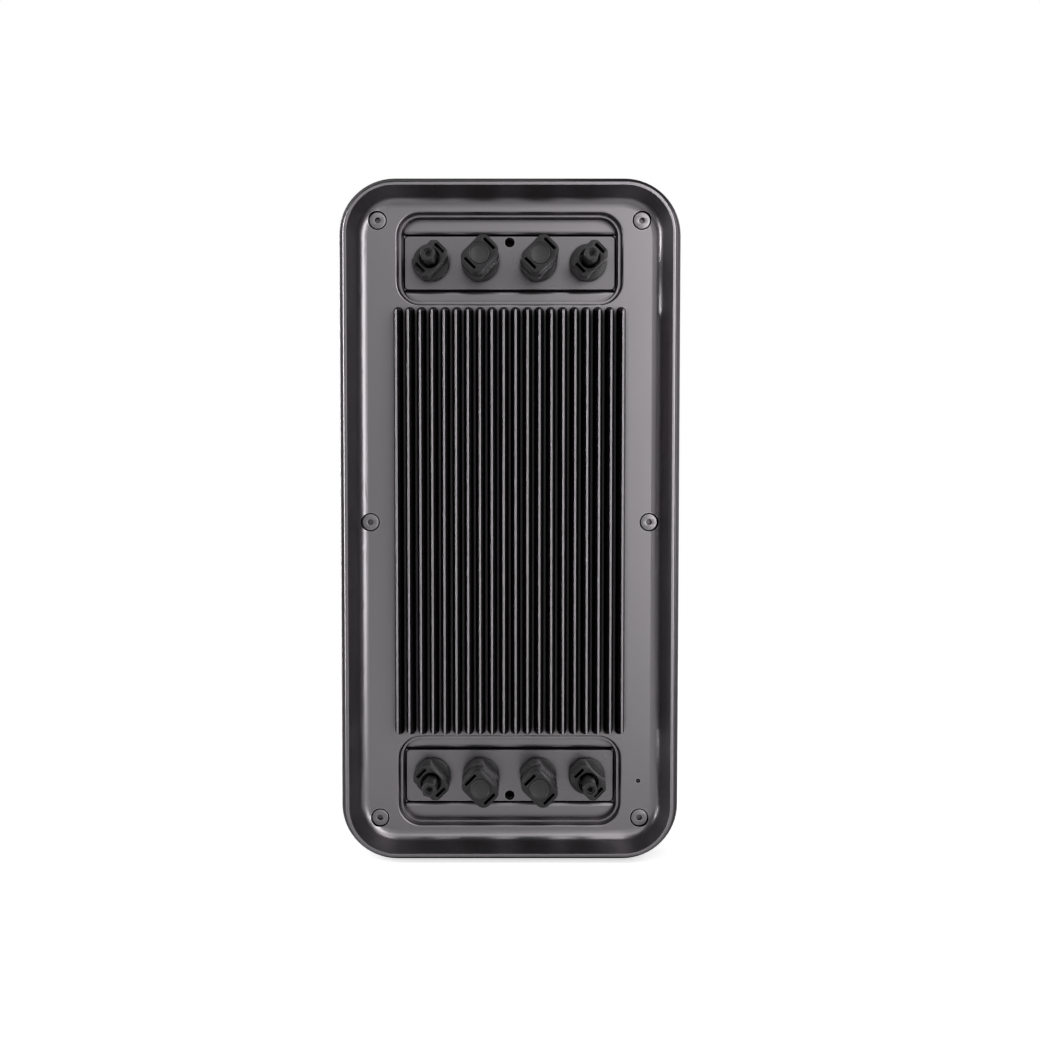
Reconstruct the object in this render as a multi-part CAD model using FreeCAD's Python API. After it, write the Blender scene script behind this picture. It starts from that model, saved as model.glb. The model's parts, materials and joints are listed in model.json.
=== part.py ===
"""Flat sealed power hub for solar modules: eight panel-mount DC connectors on the finned side of a metal case.

Units are millimetres. +Z is up, +X is right and -Y is the way the connectors point, seen by someone who faces the
connector side. The origin is midway between the two bracket holes, on the outer plane of the connector plates.
"""

import math
import os

import FreeCAD
import Part

Vector = FreeCAD.Vector

# --- Driving dimensions -------------------------------------------------------------------------------------------

# Planes along Y, from the connector side (low Y) to the front face (high Y)
RIM_Y = -20.0
SEAM_Y = -12.0
FLOOR_Y = -8.0
PLATE_Y = 0.0
FRONT_Y = 30.0

# Case outline, as half sizes
CASE_X = 91.0
CASE_Z = 183.0
CASE_CORNER = 30.0
FRONT_EDGE_R = 6.0

# Rear housing: rim, tray and wall
RIM_OUT_X = 87.9
RIM_OUT_Z = 179.6
RIM_IN_X = 86.1
RIM_IN_Z = 177.9
TRAY_X = 80.1
TRAY_Z = 172.1
TRAY_FILLET = 6.0
SHELL = 3.0
TONGUE_GAP = 0.4
SEAM_SETBACK = 0.4

# Front cover wall and its seal groove
COVER_WALL = 4.0
SEAL_IN = 2.8
SEAL_OUT = 1.2
SEAL_DEPTH = 1.4

# Connector pockets
POCKET_Z = 141.4
POCKET_HALF_X = 60.6
POCKET_HALF_Z = 24.6
POCKET_CORNER = 12.5
LEDGE_HALF_X = 57.3
LEDGE_HALF_Z = 22.15
LEDGE_CORNER = 9.0
STEP_Y = -4.4
STEP_WIDTH = 0.9
EDGE_R = 0.8

# Connector plates
PLATE_Z = 140.45
PLATE_HALF_X = 57.0
PLATE_HALF_Z = 14.35
PLATE_T = 2.4
PLATE_SEAL_T = 0.6
REBATE_GAP = 0.4
REBATE_ROLL_R = 2.6
WINDOW_HALF_X = 53.0
WINDOW_HALF_Z = 10.5
WINDOW_CORNER = 3.0
PLATE_CORNER = 2.0
PLATE_SCREW_X = (-54.0, -29.1, 29.1, 54.0)
PLATE_SCREW_OFFSET = 12.3
PLATE_SCREW_HOLE_R = 1.6
PLATE_TAP_R = 1.25
PLATE_SCREW_R = 1.23

# Bracket holes: an M5 bolt passes the plate and bites in a boss behind it
BRACKET_Z = 151.5
BRACKET_CLEAR_R = 2.75
BRACKET_TAP_R = 2.1
BRACKET_SINK_R = 3.0
BRACKET_BOSS_R = 5.5
BRACKET_BOSS_END = 13.0
BRACKET_HOLE_END = 11.5

# Fins
FIN_COUNT = 20
FIN_PITCH = 6.3
FIN_BASE_W = 5.3
FIN_TIP_W = 0.9
FIN_BASE_Z = 115.8
FIN_TIP_Z = 112.6
FIN_TIP_Y = -21.5
FIN_TIP_R = 0.25

# Case screws, M5 with low heads
CASE_SCREWS = [(-70.8, 161.7), (70.8, 161.7), (-75.3, 0.0), (75.3, 0.0), (-70.8, -161.7), (70.8, -161.7)]
SEAT_R = 5.1
SEAT_Y = -4.3
SCREW_HEAD_R = 4.4
SCREW_HEAD_T = 3.5
SCREW_HEX = 3.0
SCREW_R = 2.48
SCREW_END = 14.0
BOSS_R = 7.5
BOSS_END = -1.0
PILLAR_R = 6.0
TAP_R = 2.5
TAP_END = 16.0

# Connectors
CONNECTOR_X = (15.7, 42.5)
FLANGE_SEAL_T = 0.8
FLANGE_R = 9.9
FLANGE_T = 2.2
BARREL_R = 6.0
BARREL_END = 9.0
BARREL_HOLE_R = 6.1
NUT_T = 4.5
NUT_AF = 17.0
CONTACT_R = 1.95
CONTACT_BORE_R = 2.0
SOCKET_MOUTH_Y = -16.0
PROBE_Y = -30.5
PLUG_MOUTH_Y = -29.5
CAP_R = 5.3
CAP_BORE_R = 5.4
CAP_DEPTH = 9.0
PROBE_AF = 7.4
TIP_RECESS_AF = 4.5
TIP_RECESS_DEPTH = 1.2
TIP_HOLE_R = 1.35
CONTACT_SETBACK = 3.0
CONTACT_INNER_R = 1.3

# Board and what stands on it
BOARD_Y = 6.0
BOARD_T = 1.6
BOARD_HALF_X = 68.0
BOARD_HALF_Z = 111.5
BOARD_SCREWS = [(-61.5, 104.5), (61.5, 104.5), (-61.5, 0.0), (61.5, 0.0), (-61.5, -104.5), (61.5, -104.5)]
SPREADER_T = 4.0
SPREADER_HALF_X = 54.0
SPREADER_HALF_Z = 92.0
SPREADER_SCREWS = [(-48.0, 86.0), (48.0, 86.0), (-48.0, -86.0), (48.0, -86.0)]
PAD_T = 0.5
TRANSISTOR = (16.0, 4.9, 20.0)
TRANSISTOR_X = (-42.0, -14.0, 14.0, 42.0)
TRANSISTOR_Z = 64.0
PIN_PITCH = 5.45
PIN_TAIL_Y = 9.2
INDUCTOR_HALF = 13.0
INDUCTOR_T = 15.0
INDUCTORS = [(-30.0, 34.0), (30.0, 34.0), (-30.0, -34.0), (30.0, -34.0)]
TERMINAL_Z = 104.0
TERMINAL = (11.0, 7.0, 11.0)
LEAD_R = 1.5
LEAD_BEND = 5.0
CRIMP_END = 15.0
LEAD_Y = 21.5

# Indicator
INDICATOR = (70.1, -141.3)
LENS_R = 1.25
LENS_HOLE_R = 1.3

OUT = Vector(0, -1, 0)
INWARD = Vector(0, 1, 0)

FLOOR_INNER_Y = FLOOR_Y + SHELL
REBATE_Y = PLATE_Y + PLATE_T + PLATE_SEAL_T
REBATE_INNER_Y = REBATE_Y + SHELL
BOARD_TOP_Y = BOARD_Y + BOARD_T
FLANGE_Y = PLATE_Y - FLANGE_SEAL_T - FLANGE_T
PAD_Y = FLOOR_INNER_Y + SPREADER_T


# --- Shape helpers ------------------------------------------------------------------------------------------------

def rounded_outline(half_x, half_z, corner, y, centre_z=0.0):
    """Closed wire in a plane of constant Y: a rectangle with round corners."""
    inner_x = half_x - corner
    inner_z = half_z - corner
    edges = []
    quarter = math.pi / 2.0
    for index, (sx, sz) in enumerate([(1, 1), (-1, 1), (-1, -1), (1, -1)]):
        centre = Vector(sx * inner_x, y, centre_z + sz * inner_z)
        angles = [index * quarter + part * quarter / 2.0 for part in range(3)]
        points = [centre + Vector(math.cos(a), 0, math.sin(a)) * corner for a in angles]
        edges.append(Part.Arc(*points).toShape())
        nsx, nsz = [(-1, 1), (-1, -1), (1, -1), (1, 1)][index]
        next_centre = Vector(nsx * inner_x, y, centre_z + nsz * inner_z)
        next_start = next_centre + Vector(math.cos(angles[2]), 0, math.sin(angles[2])) * corner
        edges.append(Part.LineSegment(points[2], next_start).toShape())
    return Part.Wire(edges)


def rounded_prism(half_x, half_z, corner, y_from, y_to, centre_z=0.0):
    """Rounded rectangle swept along Y."""
    face = Part.Face(rounded_outline(half_x, half_z, corner, y_from, centre_z))
    return face.extrude(Vector(0, y_to - y_from, 0))


def tapered(first, second):
    """Solid between two outlines."""
    return Part.makeLoft([first, second], True, True)


def rod(radius, y_from, y_to, x=0.0, z=0.0):
    """Cylinder along Y."""
    return Part.makeCylinder(radius, y_to - y_from, Vector(x, y_from, z), INWARD)


def tube(outer, inner, y_from, y_to, x=0.0, z=0.0):
    """Hollow cylinder along Y."""
    return rod(outer, y_from, y_to, x, z).cut(rod(inner, y_from - 1.0, y_to + 1.0, x, z))


def block(x_from, x_to, y_from, y_to, z_from, z_to):
    """Box between two corners."""
    corner = Vector(x_from, y_from, z_from)
    return Part.makeBox(x_to - x_from, y_to - y_from, z_to - z_from, corner)


def block_at(size, x, y_from, z):
    """Box of size (x, y, z) centred on X and Z, with its low Y face at y_from."""
    sx, sy, sz = size
    return block(x - sx / 2, x + sx / 2, y_from, y_from + sy, z - sz / 2, z + sz / 2)


def hexagon(across_flats, y_from, y_to, x=0.0, z=0.0, turn=0.0):
    """Hexagonal prism along Y, with its first corner at turn degrees from X."""
    radius = across_flats / math.sqrt(3.0)
    angles = [math.radians(60.0 * step + turn) for step in range(7)]
    points = [Vector(x + radius * math.cos(a), y_from, z + radius * math.sin(a)) for a in angles]
    return Part.Face(Part.makePolygon(points)).extrude(Vector(0, y_to - y_from, 0))


def slot_outline(width, half_length, x, y):
    """Closed wire in a plane of constant Y: a slot with round ends, long along Z."""
    half = width / 2.0
    straight = half_length - half
    right_low = Vector(x + half, y, -straight)
    right_high = Vector(x + half, y, straight)
    top = Vector(x, y, half_length)
    left_high = Vector(x - half, y, straight)
    left_low = Vector(x - half, y, -straight)
    bottom = Vector(x, y, -half_length)
    return Part.Wire([
        Part.LineSegment(right_low, right_high).toShape(),
        Part.Arc(right_high, top, left_high).toShape(),
        Part.LineSegment(left_high, left_low).toShape(),
        Part.Arc(left_low, bottom, right_low).toShape(),
    ])


def edges_at(shape, y, limit=None):
    """Edges that lie in the plane of constant Y, and inside limit where a bound box is given."""
    found = []
    for edge in shape.Edges:
        box = edge.BoundBox
        if abs(box.YMin - y) > 0.01 or abs(box.YMax - y) > 0.01:
            continue
        if limit is None or limit.isInside(box):
            found.append(edge)
    return found


def fuse_all(shapes):
    """One solid from shapes that touch."""
    whole = shapes[0].multiFuse(shapes[1:])
    return whole.removeSplitter()


def cut_all(shape, tools):
    """Shape with every tool taken out of it."""
    return shape.cut(Part.makeCompound(tools))


def connector_places():
    """X of each of the four connectors in a row, from left to right."""
    return [-CONNECTOR_X[1], -CONNECTOR_X[0], CONNECTOR_X[0], CONNECTOR_X[1]]


# --- Case ---------------------------------------------------------------------------------------------------------

def tray_recess():
    """The shallow tray inside the rim, with a round foot to its walls."""
    over = 1.0
    rise = FLOOR_Y - RIM_Y
    grow_x = (RIM_IN_X - TRAY_X) / rise
    grow_z = (RIM_IN_Z - TRAY_Z) / rise
    top_x = RIM_IN_X + grow_x * over
    top_z = RIM_IN_Z + grow_z * over
    top = rounded_outline(top_x, top_z, CASE_CORNER - (CASE_X - top_x), RIM_Y - over)
    foot = rounded_outline(TRAY_X, TRAY_Z, CASE_CORNER - (CASE_X - TRAY_X), FLOOR_Y)
    recess = tapered(top, foot)
    return recess.makeFillet(TRAY_FILLET, edges_at(recess, FLOOR_Y))


def rim_block():
    """The outside of the rear housing, from the seam to the rim, with a round crest outside."""
    seam_x = CASE_X - SEAM_SETBACK
    seam_z = CASE_Z - SEAM_SETBACK
    seam = rounded_outline(seam_x, seam_z, CASE_CORNER - SEAM_SETBACK, SEAM_Y)
    crest = rounded_outline(RIM_OUT_X, RIM_OUT_Z, CASE_CORNER - (CASE_X - RIM_OUT_X), RIM_Y)
    whole = tapered(seam, crest)
    return whole.makeFillet(1.4, edges_at(whole, RIM_Y))


def pocket_hollow(side):
    """The air of one connector pocket: two drafted walls with a narrow step between them."""
    z = side * POCKET_Z
    upper = tapered(
        rounded_outline(POCKET_HALF_X, POCKET_HALF_Z, POCKET_CORNER, FLOOR_Y - 0.01, z),
        rounded_outline(POCKET_HALF_X - 1.0, POCKET_HALF_Z - 0.8, POCKET_CORNER - 1.0, STEP_Y, z),
    )
    inset = 1.0 + STEP_WIDTH
    lower = tapered(
        rounded_outline(POCKET_HALF_X - inset, POCKET_HALF_Z - inset + 0.2, POCKET_CORNER - inset, STEP_Y - 0.5, z),
        rounded_outline(LEDGE_HALF_X, LEDGE_HALF_Z, LEDGE_CORNER, PLATE_Y, z),
    )
    return upper.fuse(lower)


def plate_rebate(side):
    """The air that holds one plate and its seal, the window behind it, and the clearance for the plate's screws."""
    z = side * PLATE_Z
    half_z = PLATE_HALF_Z + REBATE_GAP
    seat = rounded_prism(LEDGE_HALF_X, half_z, PLATE_CORNER, PLATE_Y - 0.01, REBATE_Y, z)
    window = rounded_prism(WINDOW_HALF_X, WINDOW_HALF_Z, WINDOW_CORNER, REBATE_Y - 0.5, REBATE_INNER_Y + 1.0, z)
    tools = [seat, window]
    for way in (-1, 1):
        tools.append(rolled_edge(side, z + way * half_z, way))
    for x, screw_z in plate_screw_places(side):
        tools.append(rod(PLATE_SCREW_HOLE_R, REBATE_Y - 1.0, REBATE_INNER_Y + 1.0, x, screw_z))
    return tools


def rolled_edge(side, edge_z, way):
    """The air above the round shoulder where the pocket floor rolls down to a long edge of the plate."""
    far_z = edge_z + way * REBATE_ROLL_R
    low, high = sorted((edge_z - way * REBATE_GAP / 2.0, far_z))
    air = block(-LEDGE_HALF_X, LEDGE_HALF_X, PLATE_Y - 0.01, PLATE_Y + REBATE_ROLL_R, low, high)
    start = Vector(-LEDGE_HALF_X - 1.0, PLATE_Y + REBATE_ROLL_R, far_z)
    shoulder = Part.makeCylinder(REBATE_ROLL_R, 2.0 * LEDGE_HALF_X + 2.0, start, Vector(1, 0, 0))
    pocket = rounded_prism(LEDGE_HALF_X, LEDGE_HALF_Z, LEDGE_CORNER, PLATE_Y - 1.0, REBATE_Y, side * POCKET_Z)
    return air.cut(shoulder).common(pocket)


def plate_screw_places(side):
    """Where the small screws hold one plate: along its two long edges."""
    places = []
    for x in PLATE_SCREW_X:
        for offset in (-PLATE_SCREW_OFFSET, PLATE_SCREW_OFFSET):
            places.append((x, side * PLATE_Z + offset))
    return places


def fin(x):
    """One cooling fin: a drafted wall with round drafted ends and a soft tip."""
    drop = 1.0
    rise = FLOOR_Y - FIN_TIP_Y
    widen = (FIN_BASE_W - FIN_TIP_W) / rise * drop
    lengthen = (FIN_BASE_Z - FIN_TIP_Z) / rise * drop
    foot = slot_outline(FIN_BASE_W + widen, FIN_BASE_Z + lengthen, x, FLOOR_Y + drop)
    tip = slot_outline(FIN_TIP_W, FIN_TIP_Z, x, FIN_TIP_Y)
    whole = tapered(foot, tip)
    return whole.makeFillet(FIN_TIP_R, edges_at(whole, FIN_TIP_Y))


def fins():
    """The row of cooling fins; their feet run a little way into the tray wall that they are cast in one with."""
    first = -(FIN_COUNT - 1) / 2.0 * FIN_PITCH
    return [fin(first + index * FIN_PITCH) for index in range(FIN_COUNT)]


def rear_housing():
    """Cast rear half of the case: rim, tray, pockets, fins, screw seats and inner bosses."""
    seam_x = CASE_X - COVER_WALL - TONGUE_GAP
    seam_z = CASE_Z - COVER_WALL - TONGUE_GAP
    corner = CASE_CORNER - COVER_WALL - TONGUE_GAP
    solids = [rim_block(), rounded_prism(seam_x, seam_z, corner, SEAM_Y - 1.0, FLOOR_INNER_Y)]
    for side in (-1, 1):
        solids.append(rounded_prism(
            POCKET_HALF_X + SHELL, POCKET_HALF_Z + SHELL, POCKET_CORNER + SHELL, SEAM_Y + 1.0, REBATE_INNER_Y,
            side * POCKET_Z))
    for x, z in CASE_SCREWS:
        solids.append(rod(BOSS_R, FLOOR_INNER_Y - 0.5, BOSS_END, x, z))
    body = fuse_all(solids).cut(tray_recess())
    for side in (-1, 1):
        body = body.cut(pocket_hollow(side))
    body = fillet_pocket_edges(body)
    body = fuse_all([body] + fins())
    tools = []
    for side in (-1, 1):
        tools.extend(plate_rebate(side))
    for x, z in CASE_SCREWS:
        tools.append(rod(SEAT_R, RIM_Y + 4.0, SEAT_Y, x, z))
        tools.append(rod(SCREW_R + 0.3, SEAT_Y - 1.0, BOSS_END + 1.0, x, z))
    tools.append(rod(LENS_HOLE_R, FLOOR_Y - 1.0, FLOOR_INNER_Y + 1.0, *INDICATOR))
    body = cut_all(body, tools)
    return add_inner_bosses(body)


def fillet_pocket_edges(body):
    """Soft edge where the tray floor turns down into each pocket."""
    edges = []
    for side in (-1, 1):
        half_x = POCKET_HALF_X + 1.0
        low = Vector(-half_x, FLOOR_Y - 0.5, side * POCKET_Z - POCKET_HALF_Z - 1.0)
        high = Vector(half_x, FLOOR_Y + 0.5, side * POCKET_Z + POCKET_HALF_Z + 1.0)
        limit = FreeCAD.BoundBox(low.x, low.y, low.z, high.x, high.y, high.z)
        edges.extend(edges_at(body, FLOOR_Y, limit))
    return body.makeFillet(EDGE_R, edges)


def add_inner_bosses(body):
    """Bosses inside the case: bracket bolts, board, spreader and indicator board."""
    bosses = []
    holes = []
    for side in (-1, 1):
        bosses.append(rod(BRACKET_BOSS_R, REBATE_Y, BRACKET_BOSS_END, 0.0, side * BRACKET_Z))
        holes.append(rod(BRACKET_TAP_R, REBATE_Y - 1.0, BRACKET_HOLE_END, 0.0, side * BRACKET_Z))
        sink = BRACKET_SINK_R - BRACKET_TAP_R
        holes.append(Part.makeCone(
            BRACKET_SINK_R, BRACKET_TAP_R, sink, Vector(0.0, REBATE_Y, side * BRACKET_Z), INWARD))
    for x, z in BOARD_SCREWS:
        bosses.append(rod(4.0, FLOOR_INNER_Y - 0.5, BOARD_Y, x, z))
        holes.append(rod(1.5, FLOOR_INNER_Y, BOARD_Y + 1.0, x, z))
    for z in (INDICATOR[1] - 6.0, INDICATOR[1] + 6.0):
        bosses.append(rod(1.8, FLOOR_INNER_Y - 0.5, BOSS_END, INDICATOR[0] + 4.5, z))
    return cut_all(fuse_all([body] + bosses), holes)


def front_cover():
    """Cast front half of the case: a plain face, four walls and six tapped pillars."""
    outside = rounded_prism(CASE_X, CASE_Z, CASE_CORNER, SEAM_Y, FRONT_Y)
    outside = outside.makeFillet(FRONT_EDGE_R, edges_at(outside, FRONT_Y))
    outside = outside.makeChamfer(SEAM_SETBACK, edges_at(outside, SEAM_Y))
    inner_x = CASE_X - COVER_WALL
    inner_z = CASE_Z - COVER_WALL
    inside = rounded_prism(inner_x, inner_z, CASE_CORNER - COVER_WALL, SEAM_Y - 1.0, FRONT_Y - SHELL)
    inside = inside.makeFillet(2.0, edges_at(inside, FRONT_Y - SHELL))
    shell = outside.cut(inside).cut(seal_ring(SEAL_DEPTH, 1.0))
    pillars = [rod(PILLAR_R, BOSS_END, FRONT_Y - SHELL + 0.5, x, z) for x, z in CASE_SCREWS]
    holes = [rod(TAP_R, BOSS_END - 1.0, TAP_END, x, z) for x, z in CASE_SCREWS]
    return cut_all(fuse_all([shell] + pillars), holes)


def seal_ring(depth, above):
    """A closed ring that follows the case outline, from the seam into the cover's edge."""
    outer = rounded_prism(
        CASE_X - SEAL_OUT, CASE_Z - SEAL_OUT, CASE_CORNER - SEAL_OUT, SEAM_Y - above, SEAM_Y + depth)
    inner = rounded_prism(
        CASE_X - SEAL_IN, CASE_Z - SEAL_IN, CASE_CORNER - SEAL_IN, SEAM_Y - above - 1.0, SEAM_Y + depth + 1.0)
    return outer.cut(inner)


def cap_screw(radius, head_r, head_t, hex_af, seat_y, end_y, x, z):
    """Socket-head screw that points along +Y, with its head on the -Y side of seat_y."""
    head = rod(head_r, seat_y - head_t, seat_y, x, z)
    head = head.makeChamfer(0.3, edges_at(head, seat_y - head_t))
    screw = head.fuse(rod(radius, seat_y, end_y, x, z)).removeSplitter()
    screw = screw.makeChamfer(0.4, edges_at(screw, end_y))
    return screw.cut(hexagon(hex_af, seat_y - head_t - 1.0, seat_y - head_t * 0.35, x, z))


def rear_cap_screw(radius, head_r, head_t, hex_af, seat_y, end_y, x, z):
    """Socket-head screw that points along -Y, with its head on the +Y side of seat_y."""
    flipped = cap_screw(radius, head_r, head_t, hex_af, -seat_y, -end_y, x, z)
    return flipped.mirror(Vector(0, 0, 0), Vector(0, 1, 0))


def case_screws():
    """Six low-head screws that close the case."""
    return [cap_screw(SCREW_R, SCREW_HEAD_R, SCREW_HEAD_T, SCREW_HEX, SEAT_Y, SCREW_END, x, z)
            for x, z in CASE_SCREWS]


# --- Connector plates ---------------------------------------------------------------------------------------------

def connector_plate(side):
    """Flat metal plate that carries four connectors and the bracket hole."""
    z = side * PLATE_Z
    plate = rounded_prism(PLATE_HALF_X, PLATE_HALF_Z, PLATE_CORNER, PLATE_Y, PLATE_Y + PLATE_T, z)
    plate = plate.makeChamfer(0.3, edges_at(plate, PLATE_Y))
    tools = [rod(BARREL_HOLE_R, -1.0, PLATE_T + 1.0, x, side * PLATE_Z) for x in connector_places()]
    tools.append(rod(BRACKET_CLEAR_R, -1.0, PLATE_T + 1.0, 0.0, side * BRACKET_Z))
    for x, screw_z in plate_screw_places(side):
        tools.append(rod(PLATE_TAP_R, 0.8, PLATE_T + 1.0, x, screw_z))
    return cut_all(plate, tools)


def plate_seal(side):
    """Rubber sheet seal between a plate and its seat in the rear housing."""
    z = side * PLATE_Z
    sheet = rounded_prism(PLATE_HALF_X, PLATE_HALF_Z, PLATE_CORNER, PLATE_Y + PLATE_T, REBATE_Y, z)
    tools = [rounded_prism(WINDOW_HALF_X, WINDOW_HALF_Z, WINDOW_CORNER, PLATE_Y, REBATE_Y + 1.0, z)]
    tools.append(rod(BRACKET_BOSS_R + 0.3, PLATE_Y, REBATE_Y + 1.0, 0.0, side * BRACKET_Z))
    for x, screw_z in plate_screw_places(side):
        tools.append(rod(PLATE_SCREW_HOLE_R, PLATE_Y, REBATE_Y + 1.0, x, screw_z))
    return cut_all(sheet, tools)


def plate_screws():
    """Small screws that pull both plates onto their seals from inside the case."""
    screws = []
    for side in (-1, 1):
        for x, z in plate_screw_places(side):
            screws.append(rear_cap_screw(PLATE_SCREW_R, 2.6, 2.2, 2.0, REBATE_INNER_Y, 0.9, x, z))
    return screws


# --- Connectors ---------------------------------------------------------------------------------------------------

def flange_and_barrel():
    """Round flange on the outside of the plate and threaded barrel through it, about the Y axis."""
    flange = rod(FLANGE_R, FLANGE_Y, PLATE_Y - FLANGE_SEAL_T)
    flange = flange.makeFillet(0.5, edges_at(flange, FLANGE_Y))
    barrel = rod(BARREL_R, PLATE_Y - FLANGE_SEAL_T - 0.2, BARREL_END)
    barrel = barrel.makeChamfer(0.5, edges_at(barrel, BARREL_END))
    return [flange, barrel]


def drafted_block(half_x, half_z, corner, mouth_y):
    """Body that stands on the flange and narrows a little towards the mouth."""
    foot = rounded_outline(half_x + 0.3, half_z + 0.3, corner + 0.2, FLANGE_Y + 0.3)
    mouth = rounded_outline(half_x, half_z, corner, mouth_y)
    body = tapered(foot, mouth)
    return body.makeFillet(0.35, edges_at(body, mouth_y))


def latch_slot(sign, near, far, mouth, depth, half_width):
    """Rectangular hollow for a mating latch, near to far along X, open at the mouth."""
    low, high = sorted((sign * near, sign * far))
    return block(low, high, mouth - 1.0, mouth + depth, -half_width, half_width)


def socket_shell():
    """Female connector about the Y axis, its latch fingers along X: hexagonal probe in a round well."""
    mouth = SOCKET_MOUTH_Y
    body = drafted_block(9.5, 5.95, 2.2, mouth)
    shell = fuse_all([body] + flange_and_barrel())
    well = rod(5.5, mouth - 1.0, FLANGE_Y - 2.0)
    probe = hexagon(PROBE_AF, PROBE_Y, FLANGE_Y - 1.0, turn=30.0)
    probe = probe.makeChamfer(0.5, edges_at(probe, PROBE_Y))
    shell = fuse_all([shell.cut(well), probe])
    tools = [rod(CONTACT_BORE_R, PROBE_Y + CONTACT_SETBACK, BARREL_END + 1.0)]
    tools.append(rod(TIP_HOLE_R, PROBE_Y - 1.0, PROBE_Y + CONTACT_SETBACK + 1.0))
    tools.append(hexagon(TIP_RECESS_AF, PROBE_Y - 1.0, PROBE_Y + TIP_RECESS_DEPTH, turn=30.0))
    for sign in (-1, 1):
        tools.append(latch_slot(sign, 6.3, 8.3, mouth, 9.0, 3.15))
        tools.append(latch_slot(sign, 8.75, 9.2, mouth, 3.0, 3.3))
    return cut_all(shell, tools)


def plug_shell():
    """Male connector about the Y axis, with its latch windows along X."""
    mouth = PLUG_MOUTH_Y
    body = drafted_block(9.5, 6.9, 4.4, mouth)
    shell = fuse_all([body] + flange_and_barrel())
    tools = [rod(CAP_BORE_R, mouth - 1.0, FLANGE_Y - 3.5)]
    tools.append(rod(CONTACT_BORE_R, mouth, BARREL_END + 1.0))
    for sign in (-1, 1):
        tools.append(latch_slot(sign, 6.3, 7.9, mouth, 12.0, 3.9))
        tools.append(latch_slot(sign, 8.9, 10.4, mouth + 9.0, 7.0, 2.6))
    return cut_all(shell, tools)


def dust_cap():
    """Round stopper that closes a male connector's mouth and pulls straight out."""
    mouth = PLUG_MOUTH_Y
    head = rod(CAP_R, mouth - 0.4, mouth + CAP_DEPTH)
    head = head.makeFillet(0.3, edges_at(head, mouth - 0.4))
    cup = rod(CAP_R - 1.2, mouth + 1.6, mouth + CAP_DEPTH + 1.0)
    return head.cut(cup)


def socket_contact():
    """Tinned tube contact inside a female connector's probe, with a crimp at its tail."""
    front = PROBE_Y + CONTACT_SETBACK + 0.2
    contact = rod(CONTACT_R, front, BARREL_END + 0.4).cut(rod(CONTACT_INNER_R, PROBE_Y, PROBE_Y + 16.0))
    return contact.fuse(rod(2.4, BARREL_END + 0.4, CRIMP_END)).removeSplitter()


def pin_contact():
    """Tinned pin contact inside a male connector, with a crimp at its tail."""
    pin = rod(1.25, PLUG_MOUTH_Y + 10.5, FLANGE_Y - 3.5)
    pin = pin.makeFillet(0.6, edges_at(pin, PLUG_MOUTH_Y + 10.5))
    shank = rod(CONTACT_R, FLANGE_Y - 3.5, BARREL_END + 0.4)
    return fuse_all([pin, shank, rod(2.4, BARREL_END + 0.4, CRIMP_END)])


def place(shape, x, side):
    """Shape made about the Y axis, its latches turned to the diagonal that leans outwards, moved to its place."""
    placed = shape.copy()
    placed.rotate(Vector(0, 0, 0), INWARD, -45.0 * side)
    placed.translate(Vector(x, 0, side * PLATE_Z))
    return placed


def connector_nodes():
    """Every connector shell and dust cap in a node of its own, named by its row and place."""
    nodes = {}
    for side, row in ((1, "top"), (-1, "bottom")):
        for x, hand in ((-1, "left"), (1, "right")):
            nodes[f"socket_shell_{row}_{hand}"] = [place(socket_shell(), x * CONNECTOR_X[1], side)]
            nodes[f"plug_shell_{row}_{hand}"] = [place(plug_shell(), x * CONNECTOR_X[0], side)]
            nodes[f"dust_cap_{row}_{hand}"] = [place(dust_cap(), x * CONNECTOR_X[0], side)]
    return nodes


def at_every_connector(make, places):
    """The same piece at each named X of both rows."""
    return [place(make(), x, side) for side in (-1, 1) for x in places]


def flange_seal():
    """Flat rubber ring under a connector's flange."""
    return tube(FLANGE_R - 0.4, BARREL_R + 0.1, PLATE_Y - FLANGE_SEAL_T, PLATE_Y)


def lock_nut():
    """Thin hexagonal nut that clamps a connector from inside."""
    nut = hexagon(NUT_AF, PLATE_T, PLATE_T + NUT_T)
    return nut.cut(rod(BARREL_R + 0.05, 0.0, PLATE_T + NUT_T + 1.0))


def lead(x, side):
    """Insulated lead from a crimp, in two round bends, down to its terminal on the board."""
    far = side * PLATE_Z
    near = side * TERMINAL_Z
    start = Vector(x, CRIMP_END, far)
    end = Vector(x, BOARD_TOP_Y + TERMINAL[1], near)
    bend_in = Vector(x, LEAD_Y - LEAD_BEND, far)
    bend_out = Vector(x, LEAD_Y, far - side * LEAD_BEND)
    slope = LEAD_BEND * math.sqrt(0.5)
    mid_in = Vector(x, LEAD_Y - LEAD_BEND + slope, far - side * (LEAD_BEND - slope))
    down_in = Vector(x, LEAD_Y, near + side * LEAD_BEND)
    down_out = Vector(x, LEAD_Y - LEAD_BEND, near)
    mid_down = Vector(x, LEAD_Y - LEAD_BEND + slope, near + side * (LEAD_BEND - slope))
    path = Part.Wire([
        Part.LineSegment(start, bend_in).toShape(),
        Part.Arc(bend_in, mid_in, bend_out).toShape(),
        Part.LineSegment(bend_out, down_in).toShape(),
        Part.Arc(down_in, mid_down, down_out).toShape(),
        Part.LineSegment(down_out, end).toShape(),
    ])
    section = Part.Wire(Part.makeCircle(LEAD_R, start, INWARD))
    return path.makePipeShell([section], True, False)


def leads(places):
    """Leads at the named X of both rows."""
    return [lead(x, side) for side in (-1, 1) for x in places]


# --- Inside the case ----------------------------------------------------------------------------------------------

def transistor_places():
    """Centres of the eight power transistors, and the way their pins point along Z."""
    return [(x, side * TRANSISTOR_Z, -side) for side in (-1, 1) for x in TRANSISTOR_X]


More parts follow.
